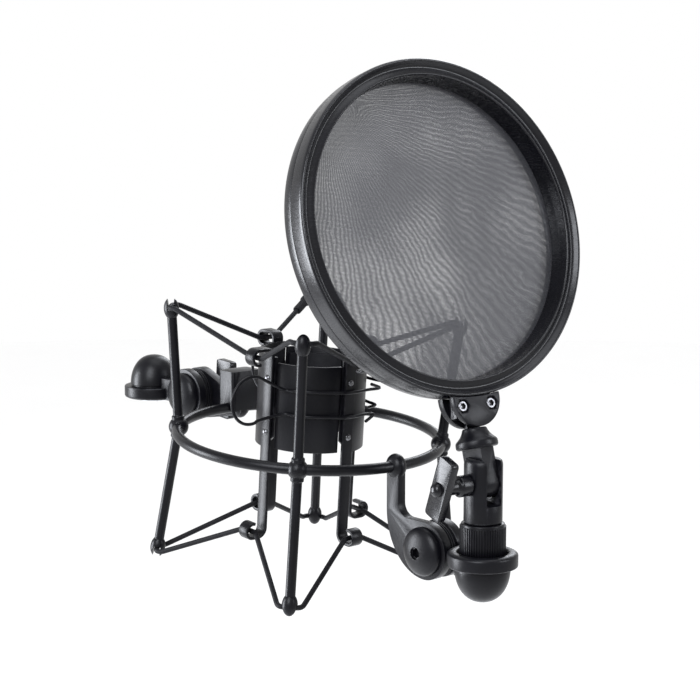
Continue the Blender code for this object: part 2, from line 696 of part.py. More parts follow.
def plate_outline():
    """A half disc whose upper edge follows the hoop."""
    half = 0.0125
    middle = 0.0363
    reach = HOOP_RADIUS + GAP
    edge = math.degrees(math.asin(half / reach))
    bottom = arc((0, middle), half, 180, 360, 15)
    top = arc((0, HOOP_CENTRE), reach, 270 + edge, 270 - edge, 7)
    return bottom + top


def make_neck_plate(name, low, high, side):
    """One cheek of the neck, with a seat for each screw on its outer face."""
    # The outline is drawn in X and Y, then stood up, so that its heights run along Z.
    cheek = plate(name, plate_outline(), -high, -low, TILT, turn=(math.pi / 2, 0, 0))
    cut(cheek, *screw_bores(name))
    outer = low if side < 0 else high
    for x in (-SCREW_SPREAD, SCREW_SPREAD):
        ends = sorted((outer - side * 0.0013, outer + side * 0.005))
        cut(cheek, cylinder("seat", 0.0032, ends[0], ends[1], "Y", 6, TILT, (x, 0, SCREW_HEIGHT)))
    coat(cheek, BLACK_METAL)


def make_neck_screw(name, x):
    """A socket screw through both cheeks, with its nut end in the rear seat."""
    head = 0.0041 + 0.0007
    profile = [(0, head), (0.0021, head), (0.0024, head - 0.0004), (0.0024, 0.0041 + 0.0001),
               (0.0014, 0.0041 + 0.0001), (0.0014, -0.0048), (0, -0.0048)]
    screw = turned(name, profile, 16, False, TILT, (x, 0, SCREW_HEIGHT), (math.pi / 2, 0, 0))
    socket = cylinder("socket", 0.0012, -0.008, -0.0038, "Y", 6, TILT, (x, 0, SCREW_HEIGHT))
    coat(cut(screw, socket), CHROME)


# The hoop and its mesh

def make_hoop():
    """Two rings, one behind the other, with the mesh clamped near the rear."""
    face = [(0.0732, 0.0028), (HOOP_RADIUS, 0.0015), (HOOP_RADIUS, -0.0056), (0.0688, -0.0056),
            (0.0688, MESH_FRONT), (0.0658, MESH_FRONT), (HOOP_BORE, 0.0014), (0.0672, 0.0020),
            (0.0703, 0.0007)]
    stand_up = (math.pi / 2, 0, 0)
    at = (0, HOOP_FACE, HOOP_CENTRE)
    front = turned("hoop_front", face, 56, True, TILT, at, stand_up)
    lug = plate("lug", [(-0.0100, 0.0285), (0.0100, 0.0285), (0.0100, 0.0400), (-0.0100, 0.0400)],
                0.0001, 0.0020, TILT, turn=stand_up)
    cut(join(front, lug), *screw_bores("lug"))
    coat(front, BLACK_PLASTIC)
    lip = MESH_FRONT - 0.0015
    back = [(HOOP_RADIUS, -0.0059), (HOOP_RADIUS, -0.0120), (0.0730, -0.0136), (0.0680, -0.0136),
            (0.0660, -0.0120), (0.0660, lip), (0.0691, lip), (0.0691, -0.0059)]
    coat(turned("hoop_rear", back, 56, True, TILT, at, stand_up), BLACK_PLASTIC)
    for name, height in (("mesh_front", MESH_FRONT - 0.0006), ("mesh_rear", MESH_FRONT - 0.0012)):
        sheet = cylinder(name, MESH_RADIUS, height, height + MESH_LAYER, "Z", 48, TILT, at, stand_up)
        coat(sheet, NYLON)


def build():
    make_ring()
    for name, angle in POSTS.items():
        make_post(name, angle)
    make_elastics()
    make_crimp("crimp_top", POST_TOP, TOP_HOOK, 45, 90)
    make_crimp("crimp_bottom", POST_BOTTOM, BOTTOM_HOOK, 315, 270)
    make_saddle("left", 135)
    make_saddle("right", 315)
    for name, angle in STRAPS.items():
        make_strap(name, angle)
        for level, height in RIVET_HEIGHTS.items():
            make_rivet("rivet_" + name + "_" + level, angle, height)
    make_jaw("front", 225, False)
    make_jaw("back", 45, True)

    make_head("stand_head", STAND, NEAR_DISC, False)
    make_thread_insert()
    make_hinge_bolt("stand_hinge_bolt", STAND)
    make_friction_washer("stand_friction_washer", STAND)
    make_t_handle("stand_t_handle", STAND, (0, -HINGE_REACH, HINGE_HEIGHT), (FAR_DISC[1] + GAP, 0.0222),
                  (0.0060, 0.0150), math.radians(5))
    make_rear_arm()

    make_pop_bracket()
    make_head("pop_head", POP_HEAD, FAR_DISC, True)
    make_hinge_bolt("pop_hinge_bolt", POP_HEAD)
    make_friction_washer("pop_friction_washer", POP_HEAD)
    make_t_handle("pop_t_handle", POP_HEAD, (0, -HINGE_REACH, HINGE_HEIGHT), (FAR_DISC[1] + GAP, 0.0270),
                  (0.0048, 0.0155), math.radians(74))

    make_stud()
    make_knurled_nut()
    make_clevis()
    make_t_handle("clevis_t_handle", SWIVEL, (0, 0, PIVOT_HEIGHT - RING_CENTRE[2]),
                  (CLEVIS_RADIUS + GAP, 0.0223), (0.0048, 0.0140), math.radians(21), -1)
    make_neck()
    make_neck_plate("neck_plate_front", -0.0054, -0.0023, -1)
    make_neck_plate("neck_plate_rear", 0.0024, 0.0056, 1)
    make_neck_screw("neck_screw_left", -SCREW_SPREAD)
    make_neck_screw("neck_screw_right", SCREW_SPREAD)
    make_hoop()


clear_scene()
PARTS = new_collection("pop_filter")
CUTTERS = new_collection("cutters")
BLACK_METAL = paint("black_metal", (0.018, 0.018, 0.020), 0.45, 0.0)
BLACK_PLASTIC = paint("black_plastic", (0.015, 0.015, 0.016), 0.38, 0.0)
RUBBER = paint("rubber", (0.012, 0.012, 0.013), 0.75, 0.0)
STEEL = paint("steel", (0.62, 0.62, 0.64), 0.30, 1.0)
CHROME = paint("chrome", (0.80, 0.80, 0.82), 0.12, 1.0)
NYLON = paint("nylon", (0.10, 0.10, 0.11), 0.60, 0.0)
STAND = frame("stand_frame")
MOUNT = frame("shock_mount_frame", None, RING_CENTRE, (MOUNT_LEAN, 0, 0))
POP_HEAD = frame("pop_head_frame", None, (0, POP_AXIS_Y, POP_MOUTH_Z), (math.pi, 0, 0))
SWIVEL = frame("swivel_frame", None, (0, POP_AXIS_Y, RING_CENTRE[2]), (0, 0, POP_SWIVEL))
TILT = frame("tilt_frame", SWIVEL, (0, 0, PIVOT_HEIGHT - RING_CENTRE[2]), (POP_LEAN, 0, 0))
build()
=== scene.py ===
"""The looks of a pop filter on its spider shock mount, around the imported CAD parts.

Every piece is drawn in the CAD's own frame, in metres, and stands for one CAD node: the same sizes with
finer wires, turned forms, rounded edges, threads, knurls and an open double mesh.
"""

import json
import math

import bmesh
import bpy
from mathutils import Matrix, Quaternion, Vector


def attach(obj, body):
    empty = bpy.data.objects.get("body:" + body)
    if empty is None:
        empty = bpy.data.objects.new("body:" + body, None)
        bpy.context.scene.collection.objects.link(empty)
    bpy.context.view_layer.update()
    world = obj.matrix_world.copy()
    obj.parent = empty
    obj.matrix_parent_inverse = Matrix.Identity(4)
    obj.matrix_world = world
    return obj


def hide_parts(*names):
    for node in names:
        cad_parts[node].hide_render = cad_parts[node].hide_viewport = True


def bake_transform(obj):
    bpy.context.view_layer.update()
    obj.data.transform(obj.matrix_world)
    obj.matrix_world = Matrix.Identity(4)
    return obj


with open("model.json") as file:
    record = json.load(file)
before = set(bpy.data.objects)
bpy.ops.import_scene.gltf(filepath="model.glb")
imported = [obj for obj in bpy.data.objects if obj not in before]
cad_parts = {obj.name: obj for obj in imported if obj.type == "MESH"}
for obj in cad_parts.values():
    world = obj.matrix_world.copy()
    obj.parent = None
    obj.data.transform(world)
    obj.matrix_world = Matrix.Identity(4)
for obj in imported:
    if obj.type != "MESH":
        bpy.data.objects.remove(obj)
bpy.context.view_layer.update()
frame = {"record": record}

RECORD = frame["record"]
BODY_OF = {node: body for body, nodes in RECORD["behaviour"]["bodies"].items() for node in nodes}
SLOT_OF = {row["node"]: row["material_slot"] for row in RECORD["subparts"]}

# The CAD's driving dimensions
GAP = 0.0003
RING_RADIUS = 0.062
RING_WIRE = 0.0025
POST_WIRE = 0.0023
POST_TOP = (0.0674, 0.0574)      # radius and height of the upper elastic seat
POST_BOTTOM = (0.0701, -0.0606)
POST_BALL = 0.0047
BOSS_RADIUS = 0.0036
BOSS_LENGTH = 0.0053
SLOT_WIDTH = 0.0034
POSTS = {"back": 45, "left": 135, "front": 225, "right": 315}
ELASTIC_RADIUS = 0.0012
STRAND_ASIDE = 0.0058            # from a post's axis to the strand that leaves it
TOP_HOOK = (0.0344, 0.0409)      # radius and height of the elastic in the upper hooks
BOTTOM_HOOK = (0.0335, -0.0412)
BASKET_RADIUS = 0.0254
BASKET_BOTTOM = -0.0030
BASKET_TOP = 0.0405
SADDLE_HALF_ANGLE = 52
SADDLE_WALL = 0.0015
JAW_RADIUS = 0.0246
JAW_WALL = 0.0012
JAW_HALF_ANGLE = 36.8
PAD_WALL = 0.0016
STRAP_WIDTH = 0.006
STRAP_WALL = 0.0015
HOOK_CURL = 0.0034
STRAPS = {"right": 0, "rear": 90, "left": 180, "fore": 270}
RIVET_HEIGHTS = {"upper": 0.0305, "lower": 0.005}
WIRE = 0.00075
WIRE_HEIGHTS = (0.0265, 0.0150)
LOOP_RADIUS = 0.011
FLANGE_RADIUS = 0.0153
FLANGE_HEIGHT = 0.0063
DOME_RADIUS = 0.0121
DOME_TOP = 0.0220
HEAD_BORE = 0.0092
HINGE_REACH = 0.0318
HINGE_HEIGHT = 0.0055
DISC_RADIUS = 0.0129
NEAR_DISC = (-0.0040, 0.0003)
WASHER_DISC = (0.0006, 0.0043)
FAR_DISC = (0.0046, 0.0096)
BOLT_RADIUS = 0.0030
RING_EYE = (0.0040, 0.0053, 0.0057)
EYE_END = 0.0045                 # radius of the rear arm's end round the ring
HANDLE_STEM = 0.0032
HANDLE_WALL = 0.0038
POP_AXIS_Y = -0.2386
POP_MOUTH_Z = -0.0369
NUT_RADIUS = 0.0100
NUT_HEIGHTS = (-0.0393, -0.0243)
CLEVIS_RADIUS = 0.00835
CLEVIS_TOP = 0.0062              # in the swivel's frame, like the slot's floor
SLOT_FLOOR = -0.0133
SLOT_HALF = 0.00395
STUD_BORE = 0.0049
HOOP_RADIUS = 0.0741
HOOP_CENTRE = 0.1109
HOOP_FACE = -0.0029
MESH_RADIUS = 0.0683
MESH_FRONT = -0.0080             # end of the sleeve that holds the mesh, from the hoop's datum plane
MESH_PITCH = 0.00055             # between threads
FAN_CENTRE = (-0.045, 0.058)     # where the rear layer's fan starts, across and up the hoop
SCREW_SPREAD = 0.00765
SCREW_HEIGHT = 0.0331
SCREW_BORE = 0.0017
THREAD_PITCH = 0.00094           # 27 to the inch

# The frames that the pieces are drawn in
RING_CENTRE = Vector((0.0, -0.1245, -0.0028))
STAND = Matrix.Identity(4)
MOUNT = Matrix.Translation(RING_CENTRE) @ Matrix.Rotation(math.radians(4.57), 4, "X")
POP_HEAD = Matrix.Translation((0, POP_AXIS_Y, POP_MOUTH_Z)) @ Matrix.Rotation(math.pi, 4, "X")
POP_AXIS = Matrix.Translation((0, POP_AXIS_Y, 0))
SWIVEL = (Matrix.Translation((0, POP_AXIS_Y, RING_CENTRE.z))
          @ Matrix.Rotation(math.radians(-6.7), 4, "Z"))
PIVOT = -0.0043                  # the clevis pivot, in the swivel's frame
TILT = SWIVEL @ Matrix.Translation((0, 0, PIVOT)) @ Matrix.Rotation(math.radians(-16.2), 4, "X")
HOOP = TILT @ Matrix.Translation((0, HOOP_FACE, HOOP_CENTRE)) @ Matrix.Rotation(math.pi / 2, 4, "X")


# Points and outlines

def around(radius, angle, height=0.0):
    """A point at an angle in degrees about Z."""
    turn = math.radians(angle)
    return Vector((radius * math.cos(turn), radius * math.sin(turn), height))


def arc(centre, radius, start, end, count):
    """Points of a circle in a plane, from one angle in degrees to another."""
    angles = [math.radians(start + (end - start) * i / (count - 1)) for i in range(count)]
    return [(centre[0] + radius * math.cos(a), centre[1] + radius * math.sin(a)) for a in angles]


def softened(points, radius, closed=False, steps=3):
    """The same outline with each corner rounded off."""
    result = []
    last = len(points) - 1
    for i, point in enumerate(points):
        here = Vector(point)
        back = Vector(points[i - 1]) - here
        onward = Vector(points[(i + 1) % len(points)]) - here
        is_end = not closed and i in (0, last)
        if is_end or back.angle(onward) > math.radians(170):
            result.append(tuple(here))
            continue
        reach = min(radius, back.length * 0.45, onward.length * 0.45)
        start = here + back.normalized() * reach
        end = here + onward.normalized() * reach
        for step in range(steps + 1):
            t = step / steps
            result.append(tuple(start * (1 - t) ** 2 + here * 2 * t * (1 - t) + end * t * t))
    return result


def curved(points, closed=False, steps=6):
    """A smooth line through the points."""
    count = len(points)
    result = []
    for i in range(count if closed else count - 1):
        if closed:
            a, b, c, d = (Vector(points[(i + k) % count]) for k in (-1, 0, 1, 2))
        else:
            a, b, c, d = (Vector(points[min(max(i + k, 0), count - 1)]) for k in (-1, 0, 1, 2))
        for step in range(steps):
            t = step / steps
            result.append(0.5 * (2 * b + (c - a) * t + (2 * a - 5 * b + 4 * c - d) * t ** 2
                                 + (3 * b - a - 3 * c + d) * t ** 3))
    if not closed:
        result.append(Vector(points[-1]))
    return result


# Shapes

def new_object(name, bm):
    bmesh.ops.remove_doubles(bm, verts=bm.verts, dist=1e-7)
    bmesh.ops.recalc_face_normals(bm, faces=bm.faces)
    mesh = bpy.data.meshes.new(name)
    bm.to_mesh(mesh)
    bm.free()
    obj = bpy.data.objects.new(name, mesh)
    bpy.context.scene.collection.objects.link(obj)
    return obj


def lathe(profile, steps=96, closed=False, at=None):
    """A profile of (radius, height) points turned about Z, then moved by a matrix."""
    bm = bmesh.new()
    rows = []
    for radius, height in profile:
        if radius < 1e-7:
            rows.append([bm.verts.new((0, 0, height))])
        else:
            rows.append([bm.verts.new(around(radius, 360 * i / steps, height)) for i in range(steps)])
    pairs = list(zip(rows, rows[1:]))
    if closed:
        pairs.append((rows[-1], rows[0]))
    for first, second in pairs:
        for i in range(steps):
            j = (i + 1) % steps
            corners = (first[i % len(first)], first[j % len(first)],
                       second[j % len(second)], second[i % len(second)])
            corners = list(dict.fromkeys(corners))
            if len(corners) > 2:
                bm.faces.new(corners)
    obj = new_object("turned", bm)
    if at is not None:
        obj.data.transform(at)
    return obj


def skin(rows, loop=False):
    """A surface through closed sections. A loop joins the last to the first; otherwise both are capped."""
    bm = bmesh.new()
    rings = [[bm.verts.new(point) for point in row] for row in rows]
    count = len(rings)
    for i in range(count if loop else count - 1):
        first, second = rings[i], rings[(i + 1) % count]
        for j in range(len(first)):
            k = (j + 1) % len(first)
            bm.faces.new((first[j], first[k], second[k], second[j]))
    if not loop:
        bm.faces.new(list(reversed(rings[0])))
        bm.faces.new(rings[-1])
    return new_object("skin", bm)


def directions(line, closed):
    """The tangent and a steady normal at each point of a line."""
    count = len(line)
    tangents = []
    for i in range(count):
        after = line[(i + 1) % count] if closed else line[min(i + 1, count - 1)]
        before = line[i - 1] if closed else line[max(i - 1, 0)]
        tangents.append((after - before).normalized())
    normals = [tangents[0].orthogonal().normalized()]
    for first, second in zip(tangents, tangents[1:]):
        normals.append(first.rotation_difference(second) @ normals[-1])
    if closed:
        closing = tangents[-1].rotation_difference(tangents[0]) @ normals[-1]
        twist = math.atan2(normals[0].cross(closing).dot(tangents[0]), normals[0].dot(closing))
        normals = [Quaternion(t, -twist * i / count) @ n
                   for i, (t, n) in enumerate(zip(tangents, normals))]
    return list(zip(tangents, normals))


def wire(line, radius, closed=False, sides=16):
    """A round wire along a line, with rounded ends."""
    rows = []
    for point, (tangent, normal) in zip(line, directions(line, closed)):
        side = tangent.cross(normal)
        rows.append([point + (normal * math.cos(a) + side * math.sin(a)) * radius
                     for a in (2 * math.pi * j / sides for j in range(sides))])
    if not closed:
        for index, way in ((0, -1), (-1, 1)):
            tangent = directions(line, False)[index][0]
            ends = []
            for turn in (30, 60, 85):
                scale = math.cos(math.radians(turn))
                push = tangent * way * radius * 0.6 * math.sin(math.radians(turn))
                ends.append([line[index] + (p - line[index]) * scale + push for p in rows[index]])
            rows = ends[::-1] + rows if index == 0 else rows + ends
    return skin(rows, closed)


def plate(outline, low, high, at=None):
    """A flat outline in X and Y, from height low to high, then moved by a matrix."""
    bm = bmesh.new()
    base = [bm.verts.new((x, y, low)) for x, y in outline]
    top = [bm.verts.new((x, y, high)) for x, y in outline]
    bm.faces.new(list(reversed(base)))
    bm.faces.new(top)
    for i in range(len(base)):
        j = (i + 1) % len(base)
        bm.faces.new((base[i], base[j], top[j], top[i]))
    obj = new_object("plate", bm)
    if at is not None:
        obj.data.transform(at)
    return obj


def block(low, high, at=None):
    outline = [(low[0], low[1]), (high[0], low[1]), (high[0], high[1]), (low[0], high[1])]
    return plate(outline, low[2], high[2], at)


def ALONG_X(at=(0, 0, 0)):
    """Turns a Z axis to lie along X, at a place."""
    return Matrix.Translation(at) @ Matrix.Rotation(math.pi / 2, 4, "Y")


STAND_UP = Matrix.Rotation(math.pi / 2, 4, "X")
SIDE_ON = Matrix.Rotation(math.pi / 2, 4, "Z") @ Matrix.Rotation(math.pi / 2, 4, "X")


def drum(radius, low, high, at=None, edge=0.0004, steps=72):
    """A round bar with rounded rims."""
    return lathe(softened([(0, high), (radius, high), (radius, low), (0, low)], edge), steps, at=at)


def hexagon(radius, low, high, at=None):
    return plate([tuple(around(radius, 60 * i).xy) for i in range(6)], low, high, at)


def ellipsoid(radii, at=None, steps=32):
    profile = [(math.sin(math.pi * i / 20), math.cos(math.pi * i / 20)) for i in range(21)]
    profile[0], profile[-1] = (0, 1), (0, -1)
    obj = lathe(profile, steps)
    obj.data.transform(Matrix.Diagonal((*radii, 1)))
    if at is not None:
        obj.data.transform(at)
    return obj


def ribbon(path, width, thickness):
    """A flat strip along a path in X and Z, as wide as width along Y, with rounded edges."""
    half, deep, edge = width / 2, thickness / 2, thickness * 0.3
    outline = softened([(-half, -deep), (half, -deep), (half, deep), (-half, deep)], edge, True, 2)
    line = [Vector((x, 0, z)) for x, z in path]
    rows = []
    for point, (tangent, _) in zip(line, directions(line, False)):
        through = tangent.cross(Vector((0, 1, 0)))
        rows.append([point + Vector((0, across, 0)) + through * inward for across, inward in outline])
    return skin(rows)


def baked(obj):
    """The object with its modifiers applied."""
    graph = bpy.context.evaluated_depsgraph_get()
    mesh = bpy.data.meshes.new_from_object(obj.evaluated_get(graph))
    obj.modifiers.clear()
    obj.data = mesh
    return obj


def combine(operation, target, others):
    for other in others:
        step = target.modifiers.new("combine", "BOOLEAN")
        step.operation = operation
        step.solver = "EXACT"
        step.object = other
    baked(target)
    for other in others:
        bpy.data.objects.remove(other)
    return target


def join(target, *others):
    return combine("UNION", target, others)


def cut(target, *others):
    return combine("DIFFERENCE", target, others)


def merged(first, *others):
    """Several closed shapes in one mesh, without a Boolean."""
    bm = bmesh.new()
    for obj in (first, *others):
        bm.from_mesh(obj.data)
    mesh = bpy.data.meshes.new("merged")
    bm.to_mesh(mesh)
    bm.free()
    first.data = mesh
    for obj in others:
        bpy.data.objects.remove(obj)
    return first


def mark_wear(mesh):
    """Stores how exposed each point is: 1 on the ridge of a rounded edge, and 0 on faces."""
    bm = bmesh.new()
    bm.from_mesh(mesh)
    worn = [0.0] * len(bm.verts)
    for edge in bm.edges:
        fold = edge.calc_face_angle_signed(0) if len(edge.link_faces) == 2 else 0
        if fold > 0.42:
            for vert in edge.verts:
                worn[vert.index] = 1.0
    bm.free()
    mesh.attributes.new("wear", "FLOAT", "POINT").data.foreach_set("value", worn)


def shown(node, obj, world=STAND, edge=0.0, smooth=38, ride=True, worn=False, finish=None):
    """Makes an object the piece that stands for a CAD node: softened, placed, painted and riding. Its
    finish is that of its slot, unless another one is given."""
    if edge:
        bevel = obj.modifiers.new("edge", "BEVEL")
        bevel.width = edge
        bevel.segments = 2
        bevel.limit_method = "ANGLE"
        bevel.angle_limit = math.radians(38)
        bevel.use_clamp_overlap = True
        baked(obj)
    obj.data.transform(world)
    obj.name = node + "_piece"
    obj.data.name = obj.name
    obj.data.shade_smooth()
    obj.data.set_sharp_from_angle(angle=math.radians(smooth))
    if worn:
        mark_wear(obj.data)
    obj.data.materials.clear()
    obj.data.materials.append(finish or FINISHES[SLOT_OF[node]])
    if ride:
        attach(obj, BODY_OF[node])
    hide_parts(node)
    return obj


# Materials

class Surface:
    """A procedural material on a Principled shader, in the object's own metres."""

    def __init__(self, name, colour, roughness, specular=0.5, metallic=0.0, coat=0.0):
        self.material = bpy.data.materials.new(name)
        self.material.use_nodes = True
        self.tree = self.material.node_tree
        self.shader = self.tree.nodes["Principled BSDF"]
        self.shader.inputs["Base Color"].default_value = (*colour, 1)
        self.shader.inputs["Roughness"].default_value = roughness
        self.shader.inputs["Specular IOR Level"].default_value = specular
        self.shader.inputs["Metallic"].default_value = metallic
        self.shader.inputs["Coat Weight"].default_value = coat
        self.place = self.node("ShaderNodeTexCoord").outputs["Object"]

    def node(self, kind, **settings):
        made = self.tree.nodes.new(kind)
        for key, value in settings.items():
            setattr(made, key, value)
        return made

    def set(self, socket, source):
        """Feeds an input from a number, a colour or another node's output."""
        if isinstance(source, bpy.types.NodeSocket):
            self.tree.links.new(source, socket)
        else:
            socket.default_value = source
        return socket

    def noise(self, scale, detail=2.0, rough=0.5, stretch=None):
        made = self.node("ShaderNodeTexNoise")
        place = self.place
        if stretch:
            mapping = self.node("ShaderNodeMapping")
            self.set(mapping.inputs["Vector"], place)
            mapping.inputs["Scale"].default_value = stretch
            place = mapping.outputs["Vector"]
        self.set(made.inputs["Vector"], place)
        made.inputs["Scale"].default_value = scale
        made.inputs["Detail"].default_value = detail
        made.inputs["Roughness"].default_value = rough
        return made.outputs["Fac"]

    def math(self, operation, first, second=0.0, third=0.0):
        made = self.node("ShaderNodeMath", operation=operation)
        for socket, source in zip(made.inputs, (first, second, third)):
            self.set(socket, source)
        return made.outputs[0]

    def remap(self, source, low, high, to_low, to_high):
        made = self.node("ShaderNodeMapRange", interpolation_type="SMOOTHSTEP")
        for name, value in (("Value", source), ("From Min", low), ("From Max", high),
                            ("To Min", to_low), ("To Max", to_high)):
            self.set(made.inputs[name], value)
        return made.outputs["Result"]

    def mix(self, factor, first, second):
        made = self.node("ShaderNodeMix", data_type="RGBA")
        self.set(made.inputs[0], factor)
        self.set(made.inputs[6], first if isinstance(first, bpy.types.NodeSocket) else (*first, 1))
        self.set(made.inputs[7], second if isinstance(second, bpy.types.NodeSocket) else (*second, 1))
        return made.outputs[2]

    def attribute(self, name):
        return self.node("ShaderNodeAttribute", attribute_name=name)

    def distance(self, centre):
        """How far the cloth is from a point of its own plane."""
        made = self.node("ShaderNodeVectorMath", operation="SUBTRACT")
        self.set(made.inputs[0], self.attribute("cloth").outputs["Vector"])
        made.inputs[1].default_value = (*centre, 0)
        flat = self.node("ShaderNodeVectorMath", operation="MULTIPLY")
        self.set(flat.inputs[0], made.outputs["Vector"])
        flat.inputs[1].default_value = (1, 1, 0)
        length = self.node("ShaderNodeVectorMath", operation="LENGTH")
        self.set(length.inputs[0], flat.outputs["Vector"])
        return length.outputs["Value"]

    def bump(self, height, strength, distance):
        made = self.node("ShaderNodeBump")
        made.inputs["Strength"].default_value = strength
        made.inputs["Distance"].default_value = distance
        self.set(made.inputs["Height"], height)
        self.set(self.shader.inputs["Normal"], made.outputs["Normal"])

    def colour(self, source):
        self.set(self.shader.inputs["Base Color"], source)

    def rough(self, source):
        self.set(self.shader.inputs["Roughness"], source)


def powder_coat():
    """Fine-grained matte black coating, a little paler where edges have rubbed."""
    surface = Surface("powder_coat", (0.005, 0.005, 0.007), 0.42, specular=0.12)
    grain = surface.noise(2400, 3, 0.65)
    patches = surface.noise(70, 2)
    rubbed = surface.math("MULTIPLY", surface.attribute("wear").outputs["Fac"],
                          surface.remap(surface.noise(420, 3, 0.6), 0.42, 0.62, 0, 1))
    base = surface.mix(surface.remap(patches, 0.3, 0.7, 0, 1), (0.0014, 0.0014, 0.0021),
                       (0.0024, 0.0024, 0.0034))
    specks = surface.mix(surface.remap(grain, 0.55, 0.75, 0, 0.5), base, (0.005, 0.005, 0.0068))
    surface.colour(surface.mix(surface.math("MULTIPLY", rubbed, 0.4), specks, (0.03, 0.03, 0.034)))
    surface.rough(surface.remap(grain, 0.3, 0.7, 0.28, 0.40))
    surface.bump(grain, 0.35, 0.00012)
    return surface.material


def black_plastic():
    """Satin moulded plastic with a faint spark-eroded texture and light handling marks."""
    surface = Surface("black_plastic", (0.004, 0.004, 0.0055), 0.25, specular=0.18)
    texture = surface.noise(3600, 2, 0.5)
    marks = surface.noise(260, 4, 0.7, (1, 1, 6))
    base = surface.mix(surface.remap(surface.noise(55, 3), 0.3, 0.7, 0, 1), (0.0014, 0.0014, 0.0021),
                       (0.0023, 0.0023, 0.0033))
    surface.colour(surface.mix(surface.remap(texture, 0.5, 0.8, 0, 0.35), base, (0.005, 0.005, 0.0068)))
    surface.rough(surface.remap(marks, 0.3, 0.75, 0.21, 0.31))
    surface.bump(texture, 0.22, 0.00008)
    return surface.material


def rubber():
    """Dull black rubber with a slight bloom."""
    surface = Surface("rubber", (0.005, 0.005, 0.006), 0.6, specular=0.12)
    skin_grain = surface.noise(1500, 4, 0.7)
    bloom = surface.noise(160, 3, 0.6)
    surface.colour(surface.mix(surface.remap(bloom, 0.4, 0.75, 0, 1), (0.0018, 0.0018, 0.0026),
                               (0.0042, 0.0042, 0.0054)))
    surface.rough(surface.remap(skin_grain, 0.3, 0.7, 0.52, 0.72))
    surface.bump(skin_grain, 0.3, 0.0001)
    return surface.material


def steel(name, colour, roughest):
    """Bright turned steel with fine tool marks."""
    surface = Surface(name, colour, roughest, metallic=1.0)
    marks = surface.noise(900, 3, 0.6, (1, 1, 5))
    smears = surface.noise(300, 2)
    dull = tuple(c * 0.62 for c in colour)
    surface.colour(surface.mix(surface.remap(smears, 0.45, 0.8, 0, 1), colour, dull))
    surface.rough(surface.remap(marks, 0.3, 0.7, roughest * 0.55, roughest))
    surface.bump(marks, 0.15, 0.00005)
    return surface.material


def nylon(name, fan_phase, waviness):
    """Open knit: threads both ways with holes between. A layer may be stretched in a fan from one place
    near its rim, and waver a little. Two layers that differ in this show wavy bands together. Both
    amounts are in radians of the threads' pitch."""
    surface = Surface(name, (0.075, 0.075, 0.08), 0.55, specular=0.3)
    flat = surface.node("ShaderNodeSeparateXYZ")
    surface.set(flat.inputs[0], surface.attribute("cloth").outputs["Vector"])
    across, along = flat.outputs["X"], flat.outputs["Y"]
    fan = surface.math("ARCTAN2", surface.math("SUBTRACT", along, FAN_CENTRE[1]),
                       surface.math("SUBTRACT", across, FAN_CENTRE[0]))
    ripple = surface.math("MULTIPLY", surface.noise(75, 3, 0.6), waviness * 1.1)
    drift = surface.math("ADD", surface.math("MULTIPLY", fan, fan_phase), ripple)
    waver = surface.math("MULTIPLY", surface.noise(16, 2), waviness)
    # The cloth is made denser near the fan's start and towards +X across the hoop, so those parts of the
    # screen look darker.
    open_share = surface.math("MULTIPLY", surface.remap(surface.distance(FAN_CENTRE), 0.01, 0.09, 0.75, 1.0),
                              surface.remap(across, 0.0, 0.06, 1.06, 0.74))
    for line, extra in ((across, drift), (along, waver)):
        turns = surface.math("ADD", surface.math("MULTIPLY", line, 2 * math.pi / MESH_PITCH), extra)
        gap = surface.remap(surface.math("COSINE", turns), -0.80, 0.42, 0.04, 1.0)
        open_share = surface.math("MULTIPLY", open_share, gap)
    # Threads vary a little in thickness, which leaves a fine grain.
    open_share = surface.math("MULTIPLY", open_share,
                              surface.remap(surface.noise(1900, 2, 0.7), 0.3, 0.7, 0.78, 1.14))
    surface.set(surface.shader.inputs["Alpha"], surface.math("SUBTRACT", 1.0, open_share))
    fibre = surface.noise(5200, 2)
    surface.colour(surface.mix(surface.remap(fibre, 0.35, 0.7, 0, 1), (0.016, 0.016, 0.019),
                               (0.045, 0.045, 0.049)))
    surface.rough(surface.remap(fibre, 0.3, 0.7, 0.45, 0.65))
    return surface.material


FINISHES = {
    "powder_coat": powder_coat(),
    "black_plastic": black_plastic(),
    "rubber": rubber(),
    "steel": steel("steel", (0.58, 0.58, 0.60), 0.38),
    "chrome": steel("chrome", (0.50, 0.50, 0.52), 0.20),
}
DARK_STEEL = steel("dark_steel", (0.10, 0.10, 0.105), 0.38)


# The ring, its posts and the elastics

def make_ring():
    line = [around(RING_RADIUS, 360 * i / 192) for i in range(192)]
    shown("ring", wire(line, RING_WIRE, True, 24), MOUNT)


def ring_bore():
    """The room that a piece on the ring leaves for it."""
    bore = wire([around(RING_RADIUS, 360 * i / 96) for i in range(96)], RING_WIRE + GAP / 3, True, 20)
    bore.data.transform(MOUNT)
    return bore


